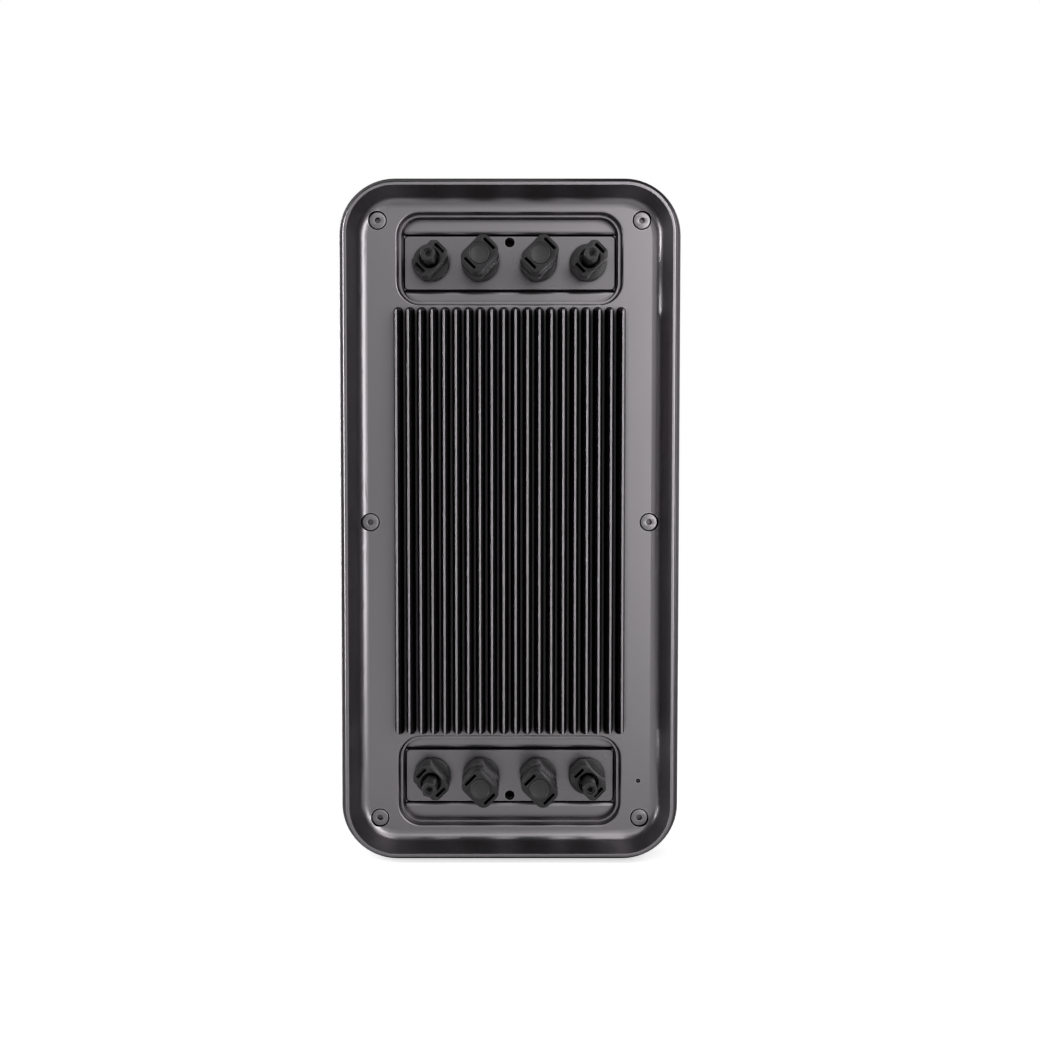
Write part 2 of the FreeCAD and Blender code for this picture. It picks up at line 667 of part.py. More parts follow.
def pin_places():
    """Where each transistor pin passes the board."""
    places = []
    for x, z, way in transistor_places():
        for step in (-1, 0, 1):
            places.append((x + step * PIN_PITCH, z + way * (TRANSISTOR[2] / 2 + 4.0)))
    return places


def main_circuit_board():
    """Main board with its screw holes and pin holes."""
    board = rounded_prism(BOARD_HALF_X, BOARD_HALF_Z, 3.0, BOARD_Y, BOARD_TOP_Y)
    tools = [rod(1.7, BOARD_Y - 1.0, BOARD_TOP_Y + 1.0, x, z) for x, z in BOARD_SCREWS]
    tools += [rod(0.9, BOARD_Y - 1.0, BOARD_TOP_Y + 1.0, x, z) for x, z in pin_places()]
    return cut_all(board, tools)


def heat_spreader():
    """Aluminium plate that carries heat from the transistors to the finned wall."""
    plate = rounded_prism(SPREADER_HALF_X, SPREADER_HALF_Z, 3.0, FLOOR_INNER_Y, PAD_Y)
    tools = []
    for x, z in SPREADER_SCREWS:
        tools.append(rod(1.6, FLOOR_INNER_Y - 1.0, PAD_Y + 1.0, x, z))
        tools.append(rod(3.1, PAD_Y - 2.0, PAD_Y + 1.0, x, z))
    return cut_all(plate, tools)


def transistor(x, z, way):
    """Moulded power transistor package that lies flat on its thermal pad."""
    body = block_at(TRANSISTOR, x, PAD_Y + PAD_T, z)
    body = body.makeChamfer(0.6, edges_at(body, PAD_Y + PAD_T + TRANSISTOR[1]))
    return body.cut(rod(1.8, PAD_Y, PAD_Y + PAD_T + TRANSISTOR[1] + 1.0, x, z - way * 6.0))


def transistor_pins():
    """Three bent pins for each transistor, from the package's edge up through the board."""
    pins = []
    for x, z, way in transistor_places():
        edge = z + way * TRANSISTOR[2] / 2
        bend = edge + way * 4.0
        for step in (-1, 0, 1):
            pin_x = x + step * PIN_PITCH
            low, high = sorted((edge, bend + way * 0.3))
            flat = block(pin_x - 0.6, pin_x + 0.6, PAD_Y + 2.2, PAD_Y + 2.8, low, high)
            rise = block(pin_x - 0.6, pin_x + 0.6, PAD_Y + 2.2, PIN_TAIL_Y, bend - 0.3, bend + 0.3)
            pins.append(flat.fuse(rise).removeSplitter())
    return pins


def inductor_core(x, z):
    """Ferrite block core, open at two sides, with a round post inside the winding."""
    half = INDUCTOR_HALF
    low = BOARD_TOP_Y
    core = block(x - half, x + half, low, low + INDUCTOR_T, z - half, z + half)
    core = core.makeFillet(1.5, [e for e in core.Edges if e.BoundBox.YLength > 1.0])
    hollow = block(x - half - 1, x + half + 1, low + 2.5, low + INDUCTOR_T - 2.5, z - 10.0, z + 10.0)
    return core.cut(hollow.cut(rod(4.6, low, low + INDUCTOR_T, x, z)))


def inductor_winding(x, z):
    """Flat copper strip wound on edge: six turns with a riser that joins them."""
    low = BOARD_TOP_Y + 3.0
    turns = [tube(9.4, 5.0, low + index * 1.6, low + index * 1.6 + 1.2, x, z) for index in range(6)]
    riser = block(x - 1.0, x + 1.0, low, low + 5 * 1.6 + 1.2, z + 8.2, z + 9.2)
    return fuse_all(turns + [riser])


def capacitor_can(x, z, radius, height):
    """Round electrolytic can with a rolled shoulder."""
    can = rod(radius, BOARD_TOP_Y, BOARD_TOP_Y + height, x, z)
    can = can.makeFillet(0.8, edges_at(can, BOARD_TOP_Y + height))
    groove = tube(radius + 1.0, radius - 0.5, BOARD_TOP_Y + 2.0, BOARD_TOP_Y + 3.0, x, z)
    return can.cut(groove)


def film_capacitor(x, z):
    """Box film capacitor."""
    box = block_at((18.0, 14.0, 8.0), x, BOARD_TOP_Y, z)
    return box.makeFillet(0.6, [e for e in box.Edges if e.BoundBox.YLength > 1.0])


def lead_terminal(x, side):
    """Screw terminal block that takes one lead from above."""
    body = block_at(TERMINAL, x, BOARD_TOP_Y, side * TERMINAL_Z)
    return body.makeChamfer(0.8, edges_at(body, BOARD_TOP_Y + TERMINAL[1]))


def control_board():
    """Small logic board, held parallel to the main board by its header."""
    return rounded_prism(20.0, 11.0, 1.0, BOARD_TOP_Y + 8.0, BOARD_TOP_Y + 9.2)


def control_header():
    """Board-to-board header under the logic board."""
    return block_at((34.0, 8.0, 5.0), 0.0, BOARD_TOP_Y, 0.0)


def control_chips():
    """Processor and its two helpers on the logic board."""
    top = BOARD_TOP_Y + 9.2
    chips = [block_at((10.0, 1.2, 10.0), 0.0, top, 0.0)]
    chips += [block_at((5.0, 1.4, 4.0), x, top, 0.0) for x in (-13.0, 13.0)]
    return chips


def small_fixings(places, seat_y, end_y):
    """Small screws that point along -Y into bosses on the rear housing."""
    return [rear_cap_screw(1.48, 2.8, 2.4, 2.5, seat_y, end_y, x, z) for x, z in places]


def spreader_rivets():
    """Flush studs that hold the spreader on the inner face of the finned wall."""
    return [rod(1.58, FLOOR_INNER_Y, PAD_Y - 2.0, x, z).fuse(rod(3.05, PAD_Y - 2.0, PAD_Y, x, z)).removeSplitter()
            for x, z in SPREADER_SCREWS]


def indicator_lens():
    """Clear light guide: a round stem in the tray floor with a flange behind it."""
    x, z = INDICATOR
    stem = rod(LENS_R, FLOOR_Y + 0.2, FLOOR_INNER_Y, x, z)
    stem = stem.makeFillet(0.3, edges_at(stem, FLOOR_Y + 0.2))
    return stem.fuse(rod(2.4, FLOOR_INNER_Y, FLOOR_INNER_Y + 1.0, x, z)).removeSplitter()


def indicator_board():
    """Small board behind the light guide, on two posts."""
    x, z = INDICATOR
    return block_at((11.0, 1.0, 17.0), x + 0.7, BOSS_END, z)


def indicator_lamp():
    """Light-emitting diode between the board and the light guide."""
    x, z = INDICATOR
    return block_at((2.8, 1.4, 3.5), x, BOSS_END - 1.4, z)


# --- Output -------------------------------------------------------------------------------------------------------

def all_nodes():
    """Every node's name and the solids in it."""
    inner = (-CONNECTOR_X[0], CONNECTOR_X[0])
    outer = (-CONNECTOR_X[1], CONNECTOR_X[1])
    nodes = {
        "rear_housing": [rear_housing()],
        "front_cover": [front_cover()],
        "housing_seal": [seal_ring(SEAL_DEPTH - 0.05, 0.0)],
        "housing_screws": case_screws(),
        "connector_plate_top": [connector_plate(1)],
        "connector_plate_bottom": [connector_plate(-1)],
        "plate_seal_top": [plate_seal(1)],
        "plate_seal_bottom": [plate_seal(-1)],
        "plate_screws": plate_screws(),
        "flange_seals": at_every_connector(flange_seal, connector_places()),
        "lock_nuts": at_every_connector(lock_nut, connector_places()),
        "socket_contacts": at_every_connector(socket_contact, outer),
        "pin_contacts": at_every_connector(pin_contact, inner),
        "outer_leads": leads(outer),
        "inner_leads": leads(inner),
        "lead_terminals": [lead_terminal(x, side) for side in (-1, 1) for x in connector_places()],
        "main_circuit_board": [main_circuit_board()],
        "board_screws": small_fixings(BOARD_SCREWS, BOARD_TOP_Y, FLOOR_INNER_Y + 3.0),
        "heat_spreader": [heat_spreader()],
        "spreader_rivets": spreader_rivets(),
        "thermal_pads": [block_at((18.0, PAD_T, 22.0), x, PAD_Y, z) for x, z, _ in transistor_places()],
        "power_transistors": [transistor(*at) for at in transistor_places()],
        "transistor_pins": transistor_pins(),
        "inductor_cores": [inductor_core(x, z) for x, z in INDUCTORS],
        "inductor_windings": [inductor_winding(x, z) for x, z in INDUCTORS],
        "bulk_capacitors": [capacitor_can(x, z, 8.0, 17.0) for x in (-24.0, 0.0, 24.0) for z in (-78.0, 78.0)],
        "film_capacitors": [film_capacitor(x, z) for x in (-54.0, 54.0) for z in (-70.0, 70.0)],
        "control_board": [control_board()],
        "control_header": [control_header()],
        "control_chips": control_chips(),
        "indicator_lens": [indicator_lens()],
        "indicator_board": [indicator_board()],
        "indicator_lamp": [indicator_lamp()],
    }
    nodes.update(connector_nodes())
    return nodes


def write_node(name, solids):
    """One STEP file for a node."""
    shape = solids[0] if len(solids) == 1 else Part.makeCompound(solids)
    shape.exportStep(f"parts/{name}.step")
    valid = all(solid.isValid() for solid in solids)
    print(f"{name}: {len(solids)} pieces, {len(shape.Solids)} solids, volume {shape.Volume:.0f}, valid {valid}")


os.makedirs("parts", exist_ok=True)
for node_name, node_solids in all_nodes().items():
    write_node(node_name, node_solids)
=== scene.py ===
"""Looks of a sealed solar power hub: a finned metal case with eight latching DC connectors.

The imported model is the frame. Its case, plates and seals keep their own shape and get procedural
finishes. The connectors, dust caps and screws are built again here with their moulded and machined
detail, and the boards get their small parts.
"""

import json
import logging
import math
import random
from dataclasses import dataclass
from enum import Enum
from typing import Iterable, Sequence

import bmesh
import bpy
from mathutils import Matrix, Vector
from mathutils.geometry import tessellate_polygon


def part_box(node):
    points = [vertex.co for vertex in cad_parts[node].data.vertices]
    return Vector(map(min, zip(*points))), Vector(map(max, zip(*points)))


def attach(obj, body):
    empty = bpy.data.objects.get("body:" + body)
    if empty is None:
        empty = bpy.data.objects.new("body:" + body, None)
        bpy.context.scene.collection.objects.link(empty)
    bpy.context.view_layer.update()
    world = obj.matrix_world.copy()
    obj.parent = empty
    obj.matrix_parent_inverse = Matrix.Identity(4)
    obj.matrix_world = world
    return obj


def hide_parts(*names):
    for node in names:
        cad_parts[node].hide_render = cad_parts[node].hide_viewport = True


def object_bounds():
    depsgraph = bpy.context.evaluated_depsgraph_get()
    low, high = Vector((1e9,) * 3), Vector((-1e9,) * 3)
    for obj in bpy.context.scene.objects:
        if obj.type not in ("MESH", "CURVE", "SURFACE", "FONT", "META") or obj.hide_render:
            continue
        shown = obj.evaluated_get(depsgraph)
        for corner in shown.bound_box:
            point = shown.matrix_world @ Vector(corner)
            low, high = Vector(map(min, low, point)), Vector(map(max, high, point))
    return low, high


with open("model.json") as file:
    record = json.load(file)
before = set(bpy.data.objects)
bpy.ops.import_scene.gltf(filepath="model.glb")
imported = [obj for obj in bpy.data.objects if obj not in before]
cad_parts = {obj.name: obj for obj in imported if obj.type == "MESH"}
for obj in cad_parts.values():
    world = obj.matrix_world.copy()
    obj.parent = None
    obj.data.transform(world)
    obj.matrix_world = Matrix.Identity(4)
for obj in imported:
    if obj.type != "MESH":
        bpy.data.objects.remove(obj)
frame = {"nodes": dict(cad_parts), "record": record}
cad_low, cad_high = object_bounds()

LOG = logging.getLogger("power_hub")
MM = 0.001
HUB = "hub"
SMOOTH_ANGLE = math.radians(32.0)

Colour = tuple[float, float, float]
Point2 = tuple[float, float]
Zone = tuple[float, float, float, float]


def grey(level: float, warmth: float = 0.0) -> Colour:
    """A near-neutral colour; warmth shifts it towards red or, below zero, towards blue."""
    return (level * (1.0 + warmth), level, level * (1.0 - warmth))


# --- Shader graph helpers -------------------------------------------------------------------------


class Graph:
    """A thin wrapper round a node tree that makes nodes and links in one call."""

    def __init__(self, tree: bpy.types.NodeTree) -> None:
        """Keeps the tree.

        Args:
            tree: The node tree to add to.
        """
        self.tree = tree

    def node(self, kind: str, links: dict[str, object] | None = None, **settings: object) -> bpy.types.Node:
        """Adds a node.

        Args:
            kind: The node's Blender type name.
            links: Input name to a value, or to an output socket to link from.
            settings: Properties of the node itself.

        Returns:
            The new node.
        """
        made = self.tree.nodes.new(kind)
        for name, value in settings.items():
            setattr(made, name, value)
        for name, value in (links or {}).items():
            self.feed(made.inputs[int(name)] if name.isdigit() else made.inputs[name], value)
        return made

    def feed(self, socket: bpy.types.NodeSocket, value: object) -> None:
        """Links an output socket to an input, or sets the input's own value.

        Args:
            socket: The input.
            value: An output socket, or the value to set.
        """
        if isinstance(value, bpy.types.NodeSocket):
            self.tree.links.new(value, socket)
        elif isinstance(value, tuple) and len(value) == 3 and socket.type == "RGBA":
            socket.default_value = (*value, 1.0)
        else:
            socket.default_value = value

    def math(self, operation: str, *values: object, clamp: bool = False) -> bpy.types.NodeSocket:
        """Adds a Math node and returns its output."""
        links = {str(index): value for index, value in enumerate(values)}
        return self.node("ShaderNodeMath", links, operation=operation, use_clamp=clamp).outputs[0]

    def at(self) -> bpy.types.NodeSocket:
        """Place on the object, in its own coordinates."""
        return self.node("ShaderNodeTexCoord").outputs["Object"]

    def tint(self, value: object, colour: object) -> bpy.types.NodeSocket:
        """A colour made lighter or darker by a value round 1."""
        links = {"Value": value, "Color": colour}
        return self.node("ShaderNodeHueSaturation", links).outputs["Color"]

    def vary(self, value: object, spread: object, start: object, **settings: bool) -> bpy.types.NodeSocket:
        """A start value that a mask from 0 to 1 moves up and down by half the spread."""
        return self.math("MULTIPLY_ADD", self.math("SUBTRACT", value, 0.5), spread, start, **settings)

    def noise(self, vector: object, scale: object, detail: float = 3.0, rough: float = 0.5
              ) -> bpy.types.NodeSocket:
        """Adds a Noise Texture and returns its value, from 0 to 1."""
        links = {"Vector": vector, "Scale": scale, "Detail": detail, "Roughness": rough}
        return self.node("ShaderNodeTexNoise", links).outputs["Fac"]

    def remap(self, value: object, low: float, high: float, to_low: object = 0.0, to_high: object = 1.0
              ) -> bpy.types.NodeSocket:
        """Adds a clamped Map Range and returns its result."""
        links = {"Value": value, "From Min": low, "From Max": high, "To Min": to_low, "To Max": to_high}
        return self.node("ShaderNodeMapRange", links, clamp=True).outputs["Result"]

    def mix(self, factor: object, first: object, second: object, blend: str = "MIX") -> bpy.types.NodeSocket:
        """Adds a colour Mix node and returns its colour.

        Args:
            factor: Share of the second colour.
            first: First colour.
            second: Second colour.
            blend: How they are blended.

        Returns:
            The mixed colour.
        """
        made = self.tree.nodes.new("ShaderNodeMix")
        made.data_type = "RGBA"
        made.blend_type = blend
        for index, value in ((0, factor), (6, first), (7, second)):
            self.feed(made.inputs[index], value)
        return made.outputs[2]

    def place(self, group: bpy.types.NodeTree, **links: object) -> bpy.types.Node:
        """Places a node group and feeds its named inputs; an underscore in a name stands for a space.

        Args:
            group: The node group.
            links: Input name to a value or to an output socket.

        Returns:
            The node that stands for the group.
        """
        made = self.tree.nodes.new("ShaderNodeGroup")
        made.node_tree = group
        for name, value in links.items():
            self.feed(made.inputs[name.replace("_", " ").title()], value)
        return made


class EffectGroup:
    """A shader node group that several finishes share, made the first time that one needs it."""

    name: str = "effect"
    takes: tuple[tuple[str, str, object], ...] = ()
    gives: tuple[tuple[str, str], ...] = ()

    @classmethod
    def tree(cls) -> bpy.types.NodeTree:
        """The group's node tree.

        Returns:
            The tree, with its named inputs and outputs in place.
        """
        found = bpy.data.node_groups.get(cls.name)
        if found is not None:
            return found
        made = bpy.data.node_groups.new(cls.name, "ShaderNodeTree")
        for label, kind, start in cls.takes:
            socket = made.interface.new_socket(label, in_out="INPUT", socket_type=kind)
            socket.default_value = (*start, 1.0) if isinstance(start, tuple) else start
        for label, kind in cls.gives:
            made.interface.new_socket(label, in_out="OUTPUT", socket_type=kind)
        graph = Graph(made)
        source = made.nodes.new("NodeGroupInput")
        sink = made.nodes.new("NodeGroupOutput")
        for label, result in cls.wire(graph, source.outputs).items():
            graph.feed(sink.inputs[label], result)
        return made

    @classmethod
    def wire(cls, graph: Graph, given: bpy.types.NodeOutputs) -> dict[str, bpy.types.NodeSocket]:
        """Builds the inside of the group and returns the socket for each output."""
        raise NotImplementedError


FLOAT = "NodeSocketFloat"
COLOUR = "NodeSocketColor"


class CoatGrain(EffectGroup):
    """The skin of a baked powder coat: orange peel, fine grain, and broad patches of colour and gloss."""

    name = "coat_grain"
    takes = (
        ("Color", COLOUR, (0.2, 0.2, 0.2)), ("Spread", FLOAT, 0.1), ("Grain Scale", FLOAT, 900.0),
        ("Patch Scale", FLOAT, 14.0), ("Gloss", FLOAT, 0.4), ("Gloss Spread", FLOAT, 0.06),
    )
    gives = (("Color", COLOUR), ("Roughness", FLOAT), ("Height", FLOAT))

    @classmethod
    def wire(cls, graph: Graph, given: bpy.types.NodeOutputs) -> dict[str, bpy.types.NodeSocket]:
        """Mixes two sizes of grain with broad patches.

        Args:
            graph: The group's own graph.
            given: The group's inputs.

        Returns:
            A socket for each output.
        """
        at = graph.at()
        grain = graph.noise(at, given["Grain Scale"], 2.0, 0.6)
        peel = graph.noise(at, graph.math("MULTIPLY", given["Grain Scale"], 0.32), 1.0)
        patch = graph.noise(at, given["Patch Scale"], 4.0, 0.62)
        tone = graph.vary(grain, 0.8, graph.math("SUBTRACT", patch, 0.5))
        value = graph.math("MULTIPLY_ADD", tone, given["Spread"], 1.0)
        tinted = graph.tint(value, given["Color"])
        gloss = graph.vary(patch, given["Gloss Spread"], given["Gloss"])
        gloss = graph.vary(grain, given["Gloss Spread"], gloss, clamp=True)
        height = graph.math("MULTIPLY_ADD", grain, 0.45, graph.math("MULTIPLY", peel, 0.55))
        return {"Color": tinted, "Roughness": gloss, "Height": height}


class EdgeWear(EffectGroup):
    """A mask that is bright along outer edges, for edge wear and a painted highlight, broken up so that it's
    never an even line.
    """

    name = "edge_wear"
    takes = (("Width", FLOAT, 0.0006), ("Amount", FLOAT, 0.5), ("Break Scale", FLOAT, 160.0))
    gives = (("Mask", FLOAT),)

    @classmethod
    def wire(cls, graph: Graph, given: bpy.types.NodeOutputs) -> dict[str, bpy.types.NodeSocket]:
        """Compares the rounded normal with the true one and breaks up the result.

        Args:
            graph: The group's own graph.
            given: The group's inputs.

        Returns:
            A socket for each output.
        """
        rounded = graph.node("ShaderNodeBevel", {"Radius": given["Width"]}, samples=4).outputs["Normal"]
        true = graph.node("ShaderNodeNewGeometry").outputs["Normal"]
        facing = graph.node("ShaderNodeVectorMath", {"0": rounded, "1": true}, operation="DOT_PRODUCT")
        turned = graph.remap(facing.outputs["Value"], 0.995, 0.86)
        at = graph.at()
        broken = graph.remap(graph.noise(at, given["Break Scale"], 5.0, 0.65), 0.2, 0.6, 0.45, 1.0)
        # Bright at outer edges: partly edge wear, partly a painted highlight.
        wear_and_highlight_mask = graph.math("MULTIPLY", graph.math("MULTIPLY", turned, broken), given["Amount"], clamp=True)
        return {"Mask": wear_and_highlight_mask}


class GrooveShade(EffectGroup):
    """A mask of painted shade that is bright down in grooves and recesses, from ambient occlusion."""

    name = "groove_shade"
    takes = (("Reach", FLOAT, 0.005), ("Open", FLOAT, 0.75), ("Shut", FLOAT, 0.3))
    gives = (("Mask", FLOAT),)

    @classmethod
    def wire(cls, graph: Graph, given: bpy.types.NodeOutputs) -> dict[str, bpy.types.NodeSocket]:
        """Measures how shut in each place is.

        Args:
            graph: The group's own graph.
            given: The group's inputs.

        Returns:
            A socket for each output.
        """
        reach = {"Distance": given["Reach"]}
        # Ambient occlusion turned into a mask of painted shade.
        around = graph.node("ShaderNodeAmbientOcclusion", reach, samples=12).outputs["AO"]
        span = graph.math("SUBTRACT", given["Open"], given["Shut"])
        shut = graph.math("DIVIDE", graph.math("SUBTRACT", given["Open"], around), span, clamp=True)
        return {"Mask": shut}


class SettledDust(EffectGroup):
    """A mask of fine dust: more on what faces up, a thin even film elsewhere."""

    name = "settled_dust"
    takes = (("Film", FLOAT, 0.05), ("Settled", FLOAT, 0.3), ("Speck Scale", FLOAT, 420.0))
    gives = (("Mask", FLOAT),)

    @classmethod
    def wire(cls, graph: Graph, given: bpy.types.NodeOutputs) -> dict[str, bpy.types.NodeSocket]:
        """Adds what lies on upward faces to the film.

        Args:
            graph: The group's own graph.
            given: The group's inputs.

        Returns:
            A socket for each output.
        """
        normal = graph.node("ShaderNodeNewGeometry").outputs["Normal"]
        up = graph.remap(graph.node("ShaderNodeSeparateXYZ", {"Vector": normal}).outputs["Z"], 0.2, 0.95)
        at = graph.at()
        speck = graph.remap(graph.noise(at, given["Speck Scale"], 4.0, 0.7), 0.35, 0.75)
        drift = graph.remap(graph.noise(at, 30.0, 3.0), 0.3, 0.7, 0.35, 1.0)
        lying = graph.math("MULTIPLY", graph.math("MULTIPLY", up, given["Settled"]), drift)
        share = graph.math("ADD", lying, given["Film"])
        return {"Mask": graph.math("MULTIPLY", share, speck, clamp=True)}


class MouldSkin(EffectGroup):
    """The skin of moulded plastic: fine spark-eroded grain, flow patches and a little gloss change."""

    name = "mould_skin"
    takes = (
        ("Color", COLOUR, (0.05, 0.05, 0.05)), ("Spread", FLOAT, 0.2), ("Grain Scale", FLOAT, 1600.0),
        ("Gloss", FLOAT, 0.42), ("Gloss Spread", FLOAT, 0.12),
    )
    gives = (("Color", COLOUR), ("Roughness", FLOAT), ("Height", FLOAT))

    @classmethod
    def wire(cls, graph: Graph, given: bpy.types.NodeOutputs) -> dict[str, bpy.types.NodeSocket]:
        """Sets cell-like grain over slow flow patches.

        Args:
            graph: The group's own graph.
            given: The group's inputs.

        Returns:
            A socket for each output.
        """
        at = graph.at()
        grid = {"Vector": at, "Scale": given["Grain Scale"]}
        pit = graph.node("ShaderNodeTexVoronoi", grid).outputs["Distance"]
        flow = graph.noise(at, 90.0, 3.0, 0.6)
        tone = graph.math("SUBTRACT", graph.math("MULTIPLY_ADD", pit, 0.5, flow), 0.75)
        value = graph.math("MULTIPLY_ADD", tone, given["Spread"], 1.0)
        tinted = graph.tint(value, given["Color"])
        gloss = graph.vary(flow, given["Gloss Spread"], given["Gloss"])
        return {"Color": tinted, "Roughness": gloss, "Height": pit}


class DrawnLines(EffectGroup):
    """Fine parallel lines left by a mill, a die or a winding machine, stretched along one axis."""

    name = "drawn_lines"
    takes = (
        ("Across", FLOAT, 2400.0), ("Along", FLOAT, 40.0),
        ("Gloss", FLOAT, 0.3), ("Gloss Spread", FLOAT, 0.15),
    )
    gives = (("Roughness", FLOAT), ("Tone", FLOAT), ("Height", FLOAT))

    @classmethod
    def wire(cls, graph: Graph, given: bpy.types.NodeOutputs) -> dict[str, bpy.types.NodeSocket]:
        """Stretches noise along Z and uses it for gloss, tone and height.

        Args:
            graph: The group's own graph.
            given: The group's inputs.

        Returns:
            A socket for each output.
        """
        at = graph.at()
        part = graph.node("ShaderNodeSeparateXYZ", {"Vector": at}).outputs
        wide = [graph.math("MULTIPLY", part[axis], given["Across"]) for axis in ("X", "Y")]
        long = graph.math("MULTIPLY", part["Z"], given["Along"])
        spread = graph.node("ShaderNodeCombineXYZ", {"X": wide[0], "Y": wide[1], "Z": long}).outputs["Vector"]
        line = graph.noise(spread, 1.0, 3.0, 0.55)
        gloss = graph.vary(line, given["Gloss Spread"], given["Gloss"])
        return {"Roughness": gloss, "Tone": line, "Height": line}


# --- Finishes -------------------------------------------------------------------------------------


@dataclass(frozen=True)
class Finish:
    """What every finish shares: its colour and the way that a material is started.

    Args:
        colour: Base colour, linear.
        gloss: Roughness of the bare surface.
        specular: Specular level.
    """

    colour: Colour
    gloss: float = 0.4
    specular: float = 0.5

    def material(self, name: str) -> bpy.types.Material:
        """The finished material.

        Args:
            name: Name for the material.

        Returns:
            A node material, made once for each name.
        """
        found = bpy.data.materials.get(name)
        if found is not None and found.get("hub_finish"):
            return found
        made = bpy.data.materials.new(name)
        made["hub_finish"] = True
        made.use_nodes = True
        made.node_tree.nodes.clear()
        graph = Graph(made.node_tree)
        shader = graph.node("ShaderNodeBsdfPrincipled", {"Specular IOR Level": self.specular})
        output = graph.node("ShaderNodeOutputMaterial")
        made.node_tree.links.new(shader.outputs[0], output.inputs["Surface"])
        self.dress(graph, shader)
        return made

    def dress(self, graph: Graph, shader: bpy.types.Node) -> None:
        """Feeds the shader; each finish has its own way."""
        raise NotImplementedError

    @staticmethod
    def bump(graph: Graph, shader: bpy.types.Node, height: object, depth: float) -> None:
        """Gives the shader a bumped normal.

        Args:
            graph: The material's graph.
            shader: The Principled shader.
            height: Height socket, from 0 to 1.
            depth: Depth of the bump in metres.
        """
        links = {"Height": height, "Distance": depth, "Strength": 1.0}
        graph.feed(shader.inputs["Normal"], graph.node("ShaderNodeBump", links).outputs["Normal"])


DUST = grey(0.42, 0.03)


@dataclass(frozen=True)
class PowderCoat(Finish):
    """Baked powder coat on cast or rolled metal: edge wear with a painted highlight, painted shade in grooves
    and a trace of dust.

    Args:
        metallic: How much it reflects as metal does.
        spread: Spread of the tone.
        grain_scale: Grains per metre.
        grain_depth: Depth of the grain in metres.
        gloss_spread: Spread of the roughness.
        edge_width: Width of the edge wear and painted highlight in metres.
        edge_amount: How strong that wear and painted highlight are.
        edge_colour: Their colour.
        film: Even film of dust.
        settled: Dust on what faces up.
        groove_colour: Colour of the painted shade down in grooves.
        grazing: How strongly it reflects at a grazing angle.
    """

    metallic: float = 1.0
    spread: float = 0.05
    grain_scale: float = 900.0
    grain_depth: float = 0.000004
    gloss_spread: float = 0.04
    edge_width: float = 0.0006
    edge_amount: float = 0.8
    edge_colour: Colour = (0.78, 0.75, 0.78)
    film: float = 0.006
    settled: float = 0.04
    groove_colour: Colour = (0.03, 0.028, 0.03)
    grazing: float = 0.12

    def dress(self, graph: Graph, shader: bpy.types.Node) -> None:
        """Coat grain, then edge wear with a painted highlight, painted shade in grooves, and dust.

        Args:
            graph: The material's graph.
            shader: The Principled shader.
        """
        skin = graph.place(
            CoatGrain.tree(), color=self.colour, spread=self.spread, grain_scale=self.grain_scale,
            gloss=self.gloss, gloss_spread=self.gloss_spread).outputs
        edge_wear_highlight = graph.place(EdgeWear.tree(), width=self.edge_width, amount=self.edge_amount).outputs["Mask"]
        dust = graph.place(SettledDust.tree(), film=self.film, settled=self.settled).outputs["Mask"]
        shut = graph.place(GrooveShade.tree()).outputs["Mask"]
        # Pale edges are partly wear, partly a painted highlight; grooves are darkened as painted shade.
        colour = graph.mix(shut, graph.mix(edge_wear_highlight, skin["Color"], self.edge_colour), self.groove_colour)
        graph.feed(shader.inputs["Base Color"], graph.mix(dust, colour, DUST))
        graph.feed(shader.inputs["Roughness"], graph.remap(dust, 0.0, 0.6, skin["Roughness"], 0.8))
        shader.inputs["Specular Tint"].default_value = (*grey(self.grazing), 1.0)
        shader.inputs["Metallic"].default_value = self.metallic
        self.bump(graph, shader, skin["Height"], self.grain_depth)


@dataclass(frozen=True)
class MouldedPlastic(Finish):
    """Moulded plastic or resin with a fine eroded skin, edges lightened by wear and a painted highlight, and
    painted shade in grooves.

    Args:
        spread: Spread of the tone.
        grain_scale: Grains per metre.
        grain_depth: Depth of the grain in metres.
        gloss_spread: Spread of the roughness.
        edge_lift: How pale the edges are, from wear and a painted highlight.
        film: Even film of dust.
        pale_gain: How many times brighter than the colour an edge is.
        groove_share: Share of the colour that is left in the painted shade down in a groove.
    """

    spread: float = 0.25
    grain_scale: float = 1600.0
    grain_depth: float = 0.00002
    gloss_spread: float = 0.14
    edge_lift: float = 0.25
    film: float = 0.015
    pale_gain: float = 2.2
    groove_share: float = 0.15

    def dress(self, graph: Graph, shader: bpy.types.Node) -> None:
        """Mould skin with edge wear and a painted highlight, painted shade in grooves and a film of dust.

        Args:
            graph: The material's graph.
            shader: The Principled shader.
        """
        skin = graph.place(
            MouldSkin.tree(), color=self.colour, spread=self.spread, grain_scale=self.grain_scale,
            gloss=self.gloss, gloss_spread=self.gloss_spread).outputs
        edge_wear_highlight = graph.place(
            EdgeWear.tree(), width=0.0004, amount=self.edge_lift, break_scale=260.0).outputs["Mask"]
        dust = graph.place(SettledDust.tree(), film=self.film, settled=0.08).outputs["Mask"]
        shut = graph.place(GrooveShade.tree(), reach=0.006, open=0.8, shut=0.35).outputs["Mask"]
        # Pale edges: partly wear, partly a painted highlight.
        pale = tuple(min(1.0, part * self.pale_gain + 0.05) for part in self.colour)
        colour = graph.mix(edge_wear_highlight, skin["Color"], pale)
        # Grooves get painted shade: a darker copy of the colour.
        deep = tuple(part * self.groove_share for part in self.colour)
        colour = graph.mix(shut, graph.mix(dust, colour, grey(0.2)), deep)
        graph.feed(shader.inputs["Base Color"], colour)
        graph.feed(shader.inputs["Roughness"], skin["Roughness"])
        self.bump(graph, shader, skin["Height"], self.grain_depth)


